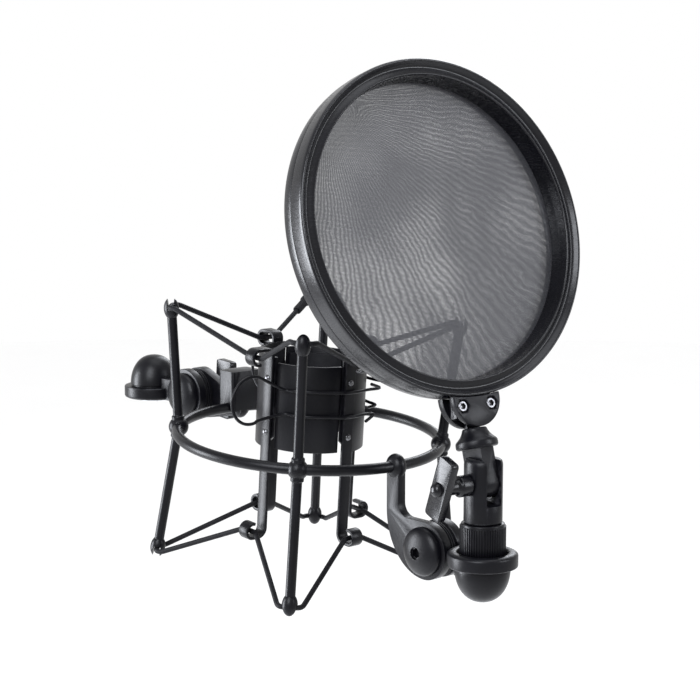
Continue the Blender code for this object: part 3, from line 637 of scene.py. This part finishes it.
def make_post(name, angle):
    """A bent wire through the ring, with a slotted boss at each end for the elastic."""
    middle = Vector((RING_RADIUS, 0, 0))
    post = ellipsoid((POST_BALL,) * 3, Matrix.Translation(middle), 40)
    slots = []
    for radius, height in (POST_TOP, POST_BOTTOM):
        seat = Vector((radius, 0, height))
        along = (seat - middle).normalized()
        tilt = Matrix.Rotation(math.atan2(along.x, along.z), 4, "Y")
        centre = seat - along * 0.001
        length = (centre - middle).length
        profile = [(0, length), (POST_WIRE, length), (POST_WIRE, 0.0056), (POST_WIRE + 0.0007, 0.0052),
                   (POST_WIRE + 0.0007, 0.0030), (0, 0.0030)]
        arm = lathe(softened(profile, 0.0004), 28, at=Matrix.Translation(middle) @ tilt)
        boss = ellipsoid((BOSS_RADIUS, BOSS_RADIUS, BOSS_LENGTH), Matrix.Translation(centre) @ tilt, 28)
        join(post, arm, boss)
        slots.append(block((-SLOT_WIDTH / 2, -0.008, -0.0015), (SLOT_WIDTH / 2, 0.008, 0.012),
                           Matrix.Translation(seat) @ tilt))
    turn = Matrix.Rotation(math.radians(angle), 4, "Z")
    cut(post, *slots)
    shown("post_" + name, post, MOUNT @ turn, edge=0.00022, smooth=32, worn=True)


def elastic_route(post_seat, hook_seat):
    """The zigzag from post to hook and on to the next post, as one closed loop."""
    route = []
    for angle in sorted(POSTS.values()):
        for inward, aside in ((0.0026, -STRAND_ASIDE), (0.0004, -0.0046), (-0.0002, -0.0026),
                              (-0.0002, 0.0026), (0.0004, 0.0046), (0.0026, STRAND_ASIDE)):
            point = Vector((post_seat[0] - inward, aside, post_seat[1]))
            route.append(Matrix.Rotation(math.radians(angle), 3, "Z") @ point)
        for aside in (-0.0042, 0.0, 0.0042):
            point = Vector((hook_seat[0], aside, hook_seat[1]))
            route.append(Matrix.Rotation(math.radians(angle + 45), 3, "Z") @ point)
    return route


def hang(piece):
    """Bakes the placement of a piece of elastic into its mesh; it rides no body."""
    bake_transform(piece)


def strand_points(route):
    """The route with straight strands and rounded turns."""
    return [Vector(point) for point in softened(route, 0.0012, True, 3)]


def make_elastic(name, post_seat, hook_seat):
    line = []
    turns = strand_points(elastic_route(post_seat, hook_seat))
    for first, second in zip(turns, turns[1:] + turns[:1]):
        steps = max(1, round((second - first).length / 0.003))
        line += [first.lerp(second, i / steps) for i in range(steps)]
    piece = shown("elastic_" + name, wire(line, ELASTIC_RADIUS, True, 16), MOUNT, ride=False)
    hang(piece)


def make_crimp(name, post_seat, hook_seat, post_angle, hook_angle):
    """A stepped sleeve that joins the ends of an elastic, on the strand next to a post."""
    side = 1 if hook_angle > post_angle else -1
    start = Matrix.Rotation(math.radians(post_angle), 3, "Z") @ Vector(
        (post_seat[0] - 0.0026, side * STRAND_ASIDE, post_seat[1]))
    end = Matrix.Rotation(math.radians(hook_angle), 3, "Z") @ Vector(
        (hook_seat[0], -side * 0.0042, hook_seat[1]))
    along = (end - start).normalized()
    inner = ELASTIC_RADIUS + GAP / 3
    profile = [(0.0018, 0.0152), (0.0021, 0.0148), (0.0021, 0.0068), (0.0027, 0.0060),
               (0.0027, 0.0030), (0.0025, 0.0027), (0.0025, 0.0023), (0.0027, 0.0020),
               (0.0027, 0.0005), (0.0024, 0.0), (inner, 0.0), (inner, 0.0152)]
    turn = along.to_track_quat("Z", "X").to_matrix().to_4x4()
    sleeve = lathe(softened(profile, 0.0002, True, 2), 32, True,
                   Matrix.Translation(start + along * 0.004) @ turn)
    hang(shown(name, sleeve, MOUNT, ride=False))


# The basket

def wall(radius, thickness, middle, half_angle, low, high):
    """A curved wall."""
    outer = arc((0, 0), radius, middle - half_angle, middle + half_angle, 40)
    inner = arc((0, 0), radius - thickness, middle + half_angle, middle - half_angle, 40)
    return plate(outer + inner, low, high)


def make_saddle(name, middle):
    saddle = wall(BASKET_RADIUS, SADDLE_WALL, middle, SADDLE_HALF_ANGLE, BASKET_BOTTOM, BASKET_TOP)
    corners = []
    for angle in (middle - SADDLE_HALF_ANGLE, middle + SADDLE_HALF_ANGLE):
        at = (Matrix.Translation(around(BASKET_RADIUS, angle, BASKET_BOTTOM - 0.0015))
              @ Matrix.Rotation(math.radians(angle), 4, "Z") @ Matrix.Rotation(math.pi / 4, 4, "X"))
        corners.append(block((-0.006, -0.0052, -0.0052), (0.006, 0.0052, 0.0052), at))
    shown("saddle_" + name, cut(saddle, *corners), MOUNT, edge=0.0003, worn=True)
    pad_radius = BASKET_RADIUS - SADDLE_WALL - GAP / 2
    make_pad("saddle_pad_" + name, pad_radius, middle, SADDLE_HALF_ANGLE - 5, BASKET_BOTTOM + 0.005,
             BASKET_TOP - 0.002)


def make_pad(node, radius, middle, half_angle, low, high):
    """A smooth rubber lining."""
    shown(node, wall(radius, PAD_WALL, middle, half_angle, low, high), MOUNT, edge=0.0004, smooth=30)


def strap_path():
    """The strap in its own radial plane: upper hook, wall and lower hook, each curled nearly shut."""
    face = BASKET_RADIUS + 0.00025 + STRAP_WALL / 2
    upper = arc((0.0344, 0.0409), HOOK_CURL, -110, 90, 25) + arc((0.0292, 0.0415), 0.0028, 90, 180, 9)
    lower = arc((0.0304, -0.0404), 0.0040, 180, 270, 9) + arc((0.0338, -0.0410), HOOK_CURL, 270, 470, 25)
    return softened(upper + [(face, BASKET_TOP - 0.002), (face, BASKET_BOTTOM)] + lower, 0.003)


def make_strap(name, angle):
    """A bent strip with a hook at each end for the elastics, held by two domed rivets."""
    turn = Matrix.Rotation(math.radians(angle), 4, "Z")
    shown("strap_" + name, ribbon(strap_path(), STRAP_WIDTH, STRAP_WALL), MOUNT @ turn, worn=True)
    head = BASKET_RADIUS + 0.00025 + STRAP_WALL + GAP / 4
    profile = [(0, head + 0.0009), (0.0006, head + 0.00085), (0.0011, head + 0.0006),
               (0.0015, head + 0.0001), (0.0015, head - 0.0001), (0.0008, head - 0.0001),
               (0.0008, BASKET_RADIUS - SADDLE_WALL), (0, BASKET_RADIUS - SADDLE_WALL)]
    for level, height in RIVET_HEIGHTS.items():
        shown("rivet_" + name + "_" + level, lathe(profile, 28, at=ALONG_X((0, 0, height))), MOUNT @ turn,
              finish=DARK_STEEL)


def jaw_wire_route():
    """The front jaw's wire: a corner, the upper run, the squeeze loop, the lower run and a corner."""
    high, low = WIRE_HEIGHTS
    across = [(0.0293, 290), (0.0287, 279), (0.0285, 270), (0.0284, 262), (0.0264, 250), (0.0257, 238),
              (0.0257, 225), (0.0257, 212), (0.0260, 200)]
    start = [Vector((0.0105, -0.0297, high + 0.0030)), Vector((0.0168, -0.0285, high + 0.0004))]
    upper = [around(radius, angle, high) for radius, angle in across]
    lower = [around(radius, angle, low) for radius, angle in reversed(across)]
    end = [Vector((0.0140, -0.0282, low - 0.0006)), Vector((0.0088, -0.0290, low - 0.0030))]
    middle = (high + low) / 2 + 0.002
    loop = [Vector((-0.0410 + x, -0.0062, middle + z))
            for x, z in arc((0, 0), LOOP_RADIUS, 62, 298, 17)]
    return start + upper + loop + lower + end


def make_jaw(name, middle, swap):
    """A sprung panel with its rubber pad and the wire that carries it."""
    low, high = BASKET_BOTTOM + 0.0005, BASKET_TOP - 0.0025
    panel = wall(JAW_RADIUS, JAW_WALL, middle, JAW_HALF_ANGLE, low, high)
    shown("jaw_" + name, panel, MOUNT, edge=0.00025, worn=True)
    make_pad("jaw_pad_" + name, JAW_RADIUS - JAW_WALL - GAP / 2, middle, JAW_HALF_ANGLE - 3,
             low + 0.003, high - 0.003)
    route = jaw_wire_route()
    if swap:
        route = [Vector((-point.y, -point.x, point.z)) for point in route]
    shown("jaw_wire_" + name, wire(curved(route, steps=5), WIRE, sides=12), MOUNT)


# The heads and their hinges

def hinge_at(along=0.0):
    return ALONG_X((along, -HINGE_REACH, HINGE_HEIGHT))


def hinge_bore():
    return drum(BOLT_RADIUS + GAP, -0.03, 0.03, hinge_at(), steps=32)


def make_head(node, world, ear, recess):
    """A domed head on a flange, with the disc of its hinge on a short web."""
    base = FLANGE_HEIGHT + 0.0009
    dome = []
    for i in range(25):
        turn = math.pi / 2 * (1 - i / 24)
        dome.append((DOME_RADIUS * math.cos(turn) ** 0.85, base + (DOME_TOP - base) * math.sin(turn)))
    dome[0] = (0, DOME_TOP)
    rim = [(DOME_RADIUS - 0.0006, base - 0.0003), (DOME_RADIUS - 0.0006, FLANGE_HEIGHT),
           (FLANGE_RADIUS, FLANGE_HEIGHT), (FLANGE_RADIUS, 0.0009), (FLANGE_RADIUS - 0.0015, 0)]
    if recess:
        mouth = [(NUT_RADIUS + 0.0012, 0), (NUT_RADIUS + 0.0005, 0.0028), (0.0050, 0.0028),
                 (0.0050, 0.0130), (0, 0.0130)]
    else:
        mouth = [(HEAD_BORE, 0), (HEAD_BORE, 0.0140), (0, 0.0140)]
    head = lathe(dome + softened(rim + mouth, 0.0007), 96)
    disc = drum(DISC_RADIUS, ear[0], ear[1], hinge_at(), 0.0006, 96)
    web = block((ear[0], -HINGE_REACH, 0.0004), (ear[1], -0.0118, 0.0112))
    shown(node, cut(join(head, disc, web), hinge_bore()), world, edge=0.00025, smooth=30, worn=True)


def thread(inner, outer, low, high, steps=36):
    """The ridge of a screw thread about Z, from one radius to another."""
    turns = (high - low) / THREAD_PITCH
    count = round(turns * steps)
    half = THREAD_PITCH * 0.42
    rows = []
    for i in range(count + 1):
        share = i / count
        fade = min(1, share * turns * 2, (1 - share) * turns * 2)
        angle, height = 360 * turns * share, low + (high - low) * share
        crest = inner + (outer - inner) * fade
        rows.append([around(inner, angle, height - half), around(crest, angle, height - half * 0.25),
                     around(crest, angle, height + half * 0.25), around(inner, angle, height + half)])
    return skin(rows)


def make_thread_insert():
    """The bright threaded bush in the stand head: its mouth stands a little proud."""
    bore, wide = 0.0082, HEAD_BORE - GAP
    profile = [(0.0086, 0.0126), (wide, 0.0122), (wide, -0.0010), (0.0083, -0.0012), (bore, -0.0008),
               (bore, 0.0126)]
    bush = lathe(softened(profile, 0.0002, True, 2), 96, True)
    shown("stand_thread_insert", merged(bush, thread(bore + 0.00005, 0.0077, 0.0002, 0.0120)), STAND,
          smooth=50)


def make_hinge_bolt(node, world):
    """A wide domed bolt head with a hexagon socket, on a shank through both discs."""
    face = -NEAR_DISC[0] + GAP / 3
    dome = [(0.0109 * math.sin(t), face + 0.0012 + 0.0046 * math.cos(t))
            for t in (math.pi / 2 * i / 16 for i in range(17))]
    dome[0] = (0, face + 0.0058)
    profile = dome + [(0.0109, face), (BOLT_RADIUS, face), (BOLT_RADIUS, -FAR_DISC[1] - 0.0040),
                      (0, -FAR_DISC[1] - 0.0040)]
    along = (Matrix.Translation((0, -HINGE_REACH, HINGE_HEIGHT)) @ Matrix.Rotation(-math.pi / 2, 4, "Y"))
    bolt = lathe(profile, 96, at=along)
    pit = lathe([(0, face + 0.0075), (0.0034, face + 0.0075), (0.0026, face + 0.0049),
                 (0, face + 0.0049)], 48, at=along)
    cut(bolt, pit, hexagon(0.0024, face + 0.0030, face + 0.0080, along))
    shown(node, bolt, world, edge=0.00012, smooth=30)


def make_friction_washer(node, world):
    """A friction ring with fine grooves, between the two discs."""
    low, high = WASHER_DISC
    rim = DISC_RADIUS - 0.0004
    profile = [(rim - 0.0002, high), (rim, high - 0.0002)]
    grooves = 3
    for i in range(grooves):
        middle = high - (high - low) * (i + 0.5) / grooves
        profile += [(rim, middle + 0.00035), (rim - 0.0008, middle + 0.0002),
                    (rim - 0.0008, middle - 0.0002), (rim, middle - 0.00035)]
    profile += [(rim, low + 0.0002), (rim - 0.0002, low), (BOLT_RADIUS + GAP, low),
                (BOLT_RADIUS + GAP, high)]
    shown(node, lathe(profile, 96, True, hinge_at()), world, smooth=25)


def make_t_handle(node, world, at, grip, size, lean, side=1):
    """A T-handle on the X axis: a hub and a round stem through its cross bar, which leans from the
    vertical. The grip is how far out its hub starts and its bar sits, the size is the bar's half
    width and half length."""
    start, middle = grip
    mirror = Matrix.Translation(at) @ Matrix.Diagonal((side, 1, 1, 1)) @ ALONG_X()
    tip = middle + HANDLE_WALL / 2 + 0.0033
    profile = [(0, tip), (0.0011, tip - 0.0001), (0.0021, tip - 0.0006), (0.0028, tip - 0.0013),
               (HANDLE_STEM, tip - 0.0024), (HANDLE_STEM, start + 0.0070), (0.0036, start + 0.0058),
               (0.0046, start + 0.0050), (0.0046, start), (0, start)]
    handle = lathe(softened(profile, 0.0004), 64, at=mirror)
    outline = softened([(-size[0], -size[1]), (size[0], -size[1]), (size[0], size[1]),
                        (-size[0], size[1])], 0.0018, True, 5)
    bar = plate(outline, middle - HANDLE_WALL / 2, middle + HANDLE_WALL / 2,
                Matrix.Rotation(math.pi / 2, 4, "Y"))
    bore = drum(BOLT_RADIUS + GAP, start - 0.003, start + 0.0047, mirror, steps=32)
    if side < 0:
        bar.data.transform(Matrix.Diagonal((-1, 1, 1, 1)))
        for obj in (handle, bar, bore):
            obj.data.flip_normals()
    # The bar's length lies along Y once it stands on X; a quarter turn about X raises it to Z.
    bar.data.transform(Matrix.Translation(at) @ Matrix.Rotation(math.pi / 2 + lean, 4, "X"))
    shown(node, cut(join(handle, bar), bore), world, edge=0.0007, smooth=34)


def ring_point(along):
    """A point of the ring in the plane X = 0, in the row frame."""
    return MOUNT @ Vector((0, along, 0))


def ring_eye(centre, disc):
    """The ball of an eye on the ring, in the middle of its plate."""
    return ellipsoid(RING_EYE, Matrix.Translation(((disc[0] + disc[1]) / 2, centre.y, centre.z)), 48)


def link_outline(big, big_radius, small, small_radius):
    """Two discs and the straight edges that touch them both."""
    reach = Vector(small) - Vector(big)
    heading = math.degrees(math.atan2(reach.y, reach.x))
    spread = math.degrees(math.acos((big_radius - small_radius) / reach.length))
    start, end = heading + spread, heading - spread + 360
    return arc(big, big_radius, start, end, 72) + arc(small, small_radius, end, start + 360, 24)


def make_rear_arm():
    """The arm from the stand hinge to its eye on the ring, with a stop block beside the eye."""
    eye = ring_point(RING_RADIUS)
    outline = link_outline((-HINGE_REACH, HINGE_HEIGHT), DISC_RADIUS, (eye.y, eye.z), EYE_END)
    arm = plate(outline, *FAR_DISC, SIDE_ON)
    corners = softened([(-0.0010, -0.0680), (0.0165, -0.0680), (0.0165, -0.0560), (-0.0010, -0.0560)],
                       0.0020, True, 5)
    join(arm, ring_eye(eye, FAR_DISC), plate(corners, 0.0010, 0.0205))
    shown("rear_arm", cut(arm, ring_bore(), hinge_bore()), STAND, edge=0.0006, smooth=30, worn=True)


def socket_screw(top, under, tip, at):
    """A small cylinder-head screw with a hexagon socket, along Z."""
    profile = [(0, top), (0.0021, top), (0.0025, top - 0.0004), (0.0025, under), (0.0014, under),
               (0.0014, tip), (0, tip)]
    return cut(lathe(profile, 48, at=at), hexagon(0.0013, top - 0.0015, top + 0.003, at))


def bracket_outline():
    """The pop bracket in Y and Z: a straight arm that sweeps forwards into the hinge disc."""
    hinge = (POP_AXIS_Y + HINGE_REACH, POP_MOUTH_Z - HINGE_HEIGHT)
    eye = ring_point(-RING_RADIUS)
    half = 0.00375
    shoulder = -0.0270
    reach = eye.y + half - hinge[0]
    drop = shoulder - (hinge[1] - DISC_RADIUS)
    sweep = []
    for i in range(25):
        turn = math.pi / 2 * i / 24
        sweep.append((hinge[0] + reach * math.cos(turn), shoulder - drop * math.sin(turn)))
    front = arc(hinge, DISC_RADIUS, 270, 90, 48)
    fillet = 0.006
    corner = (eye.y - half - fillet, hinge[1] + DISC_RADIUS + fillet)
    inner = arc(corner, fillet, 270, 360, 14)
    return sweep + front[1:] + inner + [(eye.y - half, eye.z), (eye.y + half, eye.z)]


def make_pop_bracket():
    """The bracket that hangs the pop screen's hinge from the ring."""
    bracket = plate(bracket_outline(), *NEAR_DISC, SIDE_ON)
    join(bracket, ring_eye(ring_point(-RING_RADIUS), NEAR_DISC))
    pin = hinge_bore()
    pin.data.transform(POP_HEAD)
    shown("pop_bracket", cut(bracket, ring_bore(), pin), STAND, edge=0.0005, smooth=30, worn=True)


# The pop screen's swivel, clevis and neck

def make_stud():
    """The threaded stud that stands on the pop head and carries the nut and the clevis."""
    low = POP_MOUTH_Z - 0.0120
    core = 0.0042
    profile = [(0, -0.0178), (core - 0.0004, -0.0178), (core, -0.0184), (core, low), (0, low)]
    stud = merged(lathe(profile, 48), thread(core - 0.00005, 0.0046, low + 0.001, -0.0190, 24))
    shown("swivel_stud", stud, POP_AXIS, smooth=50)


def make_knurled_nut():
    """The lock nut below the clevis, with straight ribs round its side and a plain collar."""
    low, high = NUT_HEIGHTS
    ribs = 56
    outline = []
    for i in range(ribs):
        angle, step = 360 * i / ribs, 360 / ribs
        outline += [tuple(around(NUT_RADIUS - deep, angle + share * step).xy)
                    for share, deep in ((0, 0), (0.40, 0), (0.55, 0.00045), (0.85, 0.00045))]
    nut = plate(outline, low + 0.0018, high - 0.0012)
    collar = drum(NUT_RADIUS - 0.0006, low, high, edge=0.0005)
    shown("knurled_nut", cut(join(nut, collar), drum(STUD_BORE, low - 0.001, high + 0.001, steps=40)),
          POP_AXIS, edge=0.00012, smooth=34)


def make_clevis():
    """The fork that the screen's neck tilts in, and the bolt across it."""
    base = NUT_HEIGHTS[1] + GAP / 3 - RING_CENTRE.z
    profile = softened([(0, CLEVIS_TOP), (CLEVIS_RADIUS - 0.0006, CLEVIS_TOP),
                        (CLEVIS_RADIUS, CLEVIS_TOP - 0.0018),
                        (CLEVIS_RADIUS, base), (0, base)], 0.0012)
    clevis = lathe(profile, 96)
    slot = plate(softened([(-SLOT_HALF, SLOT_FLOOR), (SLOT_HALF, SLOT_FLOOR), (SLOT_HALF, 0.02),
                           (-SLOT_HALF, 0.02)], 0.0010, True, 4), -0.012, 0.012, STAND_UP)
    pin = drum(BOLT_RADIUS + GAP, -0.02, 0.02, ALONG_X((0, 0, PIVOT)), steps=40)
    stud = drum(STUD_BORE, base - 0.005, base + 0.0066, steps=40)
    shown("clevis", cut(clevis, slot, pin, stud), SWIVEL, edge=0.0003, smooth=30, worn=True)
    bolt = drum(BOLT_RADIUS, -0.0128, 0.0082, ALONG_X((0, 0, PIVOT)), 0.0005, 48)
    shown("clevis_bolt", cut(bolt, hexagon(0.0015, 0.0060, 0.0100, ALONG_X((0, 0, PIVOT)))), SWIVEL,
          edge=0.0001)


def screw_bores():
    return [drum(SCREW_BORE, -0.03, 0.03, Matrix.Translation((x, 0, SCREW_HEIGHT)) @ STAND_UP, steps=24)
            for x in (-SCREW_SPREAD, SCREW_SPREAD)]


def make_neck():
    """The tongue in the clevis, the flared cone above it and the blade between the plates."""
    profile = [(0, 0.0236), (0.0052, 0.0236), (0.0056, 0.0222), (0.0066, 0.0204), (0.0079, 0.0191),
               (0.0090, 0.0181), (0.0092, 0.0168), (0.0091, 0.0154), (0.0084, 0.0148), (0, 0.0148)]
    neck = lathe(softened(profile, 0.0008), 96)
    half = 0.0035
    tongue = plate(arc((0, 0), 0.0064, 180, 360, 33) + [(0.0064, 0.0165), (-0.0064, 0.0165)],
                   -half, half, SIDE_ON)
    blade = plate([(-0.0035, 0.0200), (0.0035, 0.0200), (0.0035, 0.0270), (0.0100, 0.0285),
                   (0.0100, 0.0360), (-0.0100, 0.0360), (-0.0100, 0.0285), (-0.0035, 0.0270)],
                  -0.0021, -0.0002, STAND_UP)
    pin = drum(BOLT_RADIUS + GAP, -0.01, 0.01, ALONG_X(), steps=40)
    join(neck, tongue, blade)
    shown("neck", cut(neck, pin, *screw_bores()), TILT, edge=0.0002, smooth=30, worn=True)


def plate_outline():
    """A half disc whose upper edge follows the hoop."""
    half = 0.0125
    reach = HOOP_RADIUS + GAP / 3
    edge = math.degrees(math.asin(half / reach))
    bottom = arc((0, 0.0363), half, 180, 360, 49)
    return bottom + arc((0, HOOP_CENTRE), reach, 270 + edge, 270 - edge, 17)


def make_neck_plate(node, low, high, side):
    """One cheek of the neck, with a seat for each screw on its outer face."""
    cheek = plate(plate_outline(), -high, -low, STAND_UP)
    outer = low if side < 0 else high
    tools = screw_bores()
    for x in (-SCREW_SPREAD, SCREW_SPREAD):
        ends = sorted((-outer + side * 0.0013, -outer - side * 0.005))
        at = Matrix.Translation((x, 0, SCREW_HEIGHT)) @ STAND_UP
        tools.append(hexagon(0.0032, *ends, at))
    shown(node, cut(cheek, *tools), TILT, edge=0.0004, smooth=30, worn=True)


def make_neck_screw(node, x):
    """A socket screw through both cheeks."""
    at = Matrix.Translation((x, 0, SCREW_HEIGHT)) @ STAND_UP
    shown(node, socket_screw(0.0049, 0.0042, -0.0048, at), TILT, edge=0.0001, smooth=30,
          finish=DARK_STEEL)


# The hoop and its mesh

def make_hoop():
    """Two rings, one behind the other, with the mesh between the front one's sleeve and the rear lip."""
    crest = [(0.0733, 0.0028), (0.0739, 0.0023), (0.0741, 0.0012), (HOOP_RADIUS, -0.0056),
             (0.0688, -0.0056), (0.0688, MESH_FRONT), (0.0658, MESH_FRONT), (0.0667, -0.0030),
             (0.0667, 0.0014), (0.0672, 0.0020), (0.0688, 0.0012), (0.0703, 0.0003), (0.0715, 0.0011),
             (0.0727, 0.0026)]
    front = lathe(softened(crest, 0.0006, True, 4), 256, True,
                  Matrix.Translation((0, HOOP_FACE, HOOP_CENTRE)) @ STAND_UP)
    lug = plate([(-0.0100, 0.0285), (0.0100, 0.0285), (0.0100, 0.0400), (-0.0100, 0.0400)],
                0.0001, 0.0020, STAND_UP)
    shown("hoop_front", cut(join(front, lug), *screw_bores()), TILT, smooth=34)
    lip = MESH_FRONT - 0.0015
    back = [(HOOP_RADIUS - 0.0003, -0.0058), (HOOP_RADIUS - 0.0003, -0.0090), (0.0733, -0.0120),
            (0.0718, -0.0136), (0.0680, -0.0136), (0.0660, -0.0120), (0.0660, lip), (0.0691, lip),
            (0.0691, -0.0058)]
    shown("hoop_rear", lathe(softened(back, 0.0006, True, 4), 256, True), HOOP, smooth=34)


def make_mesh(node, height, fan_phase, waviness):
    """One layer of the pop screen: a round of knit cloth stretched flat in the hoop."""
    bm = bmesh.new()
    steps, rings = 128, 24
    centre = bm.verts.new((0, 0, height))
    before = None
    for i in range(1, rings + 1):
        row = [bm.verts.new(around(MESH_RADIUS * i / rings, 360 * j / steps, height))
               for j in range(steps)]
        for j in range(steps):
            k = (j + 1) % steps
            corners = (centre, row[j], row[k]) if before is None else (before[j], row[j], row[k],
                                                                       before[k])
            bm.faces.new(corners)
        before = row
    layer = new_object(node, bm)
    cloth = layer.data.attributes.new("cloth", "FLOAT_VECTOR", "POINT")
    cloth.data.foreach_set("vector", [c for vert in layer.data.vertices for c in vert.co])
    piece = shown(node, layer, HOOP, finish=nylon(node + "_nylon", fan_phase, waviness))


def build():
    make_ring()
    for name, angle in POSTS.items():
        make_post(name, angle)
    make_elastic("top", POST_TOP, TOP_HOOK)
    make_elastic("bottom", POST_BOTTOM, BOTTOM_HOOK)
    make_crimp("crimp_top", POST_TOP, TOP_HOOK, 45, 90)
    make_crimp("crimp_bottom", POST_BOTTOM, BOTTOM_HOOK, 315, 270)
    make_saddle("left", 135)
    make_saddle("right", 315)
    for name, angle in STRAPS.items():
        make_strap(name, angle)
    make_jaw("front", 225, False)
    make_jaw("back", 45, True)

    hinge = (0, -HINGE_REACH, HINGE_HEIGHT)
    make_head("stand_head", STAND, NEAR_DISC, False)
    make_thread_insert()
    make_hinge_bolt("stand_hinge_bolt", STAND)
    make_friction_washer("stand_friction_washer", STAND)
    make_t_handle("stand_t_handle", STAND, hinge, (FAR_DISC[1] + GAP, 0.0222), (0.0060, 0.0150),
                  math.radians(5))
    make_rear_arm()

    make_pop_bracket()
    make_head("pop_head", POP_HEAD, FAR_DISC, True)
    make_hinge_bolt("pop_hinge_bolt", POP_HEAD)
    make_friction_washer("pop_friction_washer", POP_HEAD)
    make_t_handle("pop_t_handle", POP_HEAD, hinge, (FAR_DISC[1] + GAP, 0.0270), (0.0048, 0.0155),
                  math.radians(74))

    make_stud()
    make_knurled_nut()
    make_clevis()
    make_t_handle("clevis_t_handle", SWIVEL, (0, 0, PIVOT), (CLEVIS_RADIUS + GAP, 0.0223),
                  (0.0048, 0.0140), math.radians(21), -1)
    make_neck()
    make_neck_plate("neck_plate_front", -0.0054, -0.0023, -1)
    make_neck_plate("neck_plate_rear", 0.0024, 0.0056, 1)
    make_neck_screw("neck_screw_left", -SCREW_SPREAD)
    make_neck_screw("neck_screw_right", SCREW_SPREAD)
    make_hoop()
    make_mesh("mesh_front", MESH_FRONT - 0.0005, 0.0, 3.0)
    make_mesh("mesh_rear", MESH_FRONT - 0.0011, 175.0, 16.0)


# The studio

def aim(obj, target):
    obj.rotation_euler = (Vector(target) - obj.location).to_track_quat("-Z", "Y").to_euler()


def make_camera():
    data = bpy.data.cameras.new("camera")
    data.sensor_width = 36.0
    data.lens = 93.97
    data.clip_start = 0.01
    camera = bpy.data.objects.new("camera", data)
    bpy.context.scene.collection.objects.link(camera)
    azimuth, elevation = math.radians(-41.6638), math.radians(8.1576)
    camera.location = (-0.5481, -0.7693, 0.1590)
    camera.rotation_euler = (math.pi / 2 - elevation, 0, azimuth)
    bpy.context.scene.camera = camera


def soft_light(name, place, target, size, watts):
    data = bpy.data.lights.new(name, "AREA")
    data.shape = "RECTANGLE"
    data.size, data.size_y = size
    data.energy = watts
    data.color = (0.91, 0.94, 1.0)
    light = bpy.data.objects.new(name, data)
    bpy.context.scene.collection.objects.link(light)
    light.location = place
    aim(light, target)


FLOOR_DEPTH = 1.2
FLOOR_RADIUS = 9.0


def make_studio():
    """A white surround, a plain pale floor and soft lights."""
    world = bpy.data.worlds.new("studio")
    world.use_nodes = True
    world.node_tree.nodes["Background"].inputs["Color"].default_value = (1, 1, 1, 1)
    world.node_tree.nodes["Background"].inputs["Strength"].default_value = 1.0
    bpy.context.scene.world = world
    bpy.context.scene.view_settings.view_transform = "Standard"
    bm = bmesh.new()
    bmesh.ops.create_circle(bm, cap_ends=True, segments=96, radius=FLOOR_RADIUS)
    floor = new_object("floor", bm)
    floor.location = (0, 0, -FLOOR_DEPTH)
    surface = Surface("floor_paint", (0.9, 0.9, 0.9), 0.8, specular=0.2)
    surface.colour(surface.mix(surface.noise(2, 2), (0.965, 0.965, 0.965), (0.985, 0.985, 0.985)))
    floor.data.materials.append(surface.material)
    middle = (0.0, -0.15, 0.05)
    soft_light("key", (-1.5, -0.9, 1.1), middle, (0.9, 1.3), 70)
    soft_light("fill", (0.85, -1.7, 0.6), middle, (0.5, 0.9), 26)
    soft_light("side", (-1.5, 1.5, -0.05), middle, (0.8, 1.4), 125)
    soft_light("rim", (1.3, 0.7, 1.0), middle, (0.6, 1.2), 16)
    soft_light("top", (0.1, -0.2, 1.6), middle, (1.2, 1.2), 16)


make_camera()
make_studio()
build()
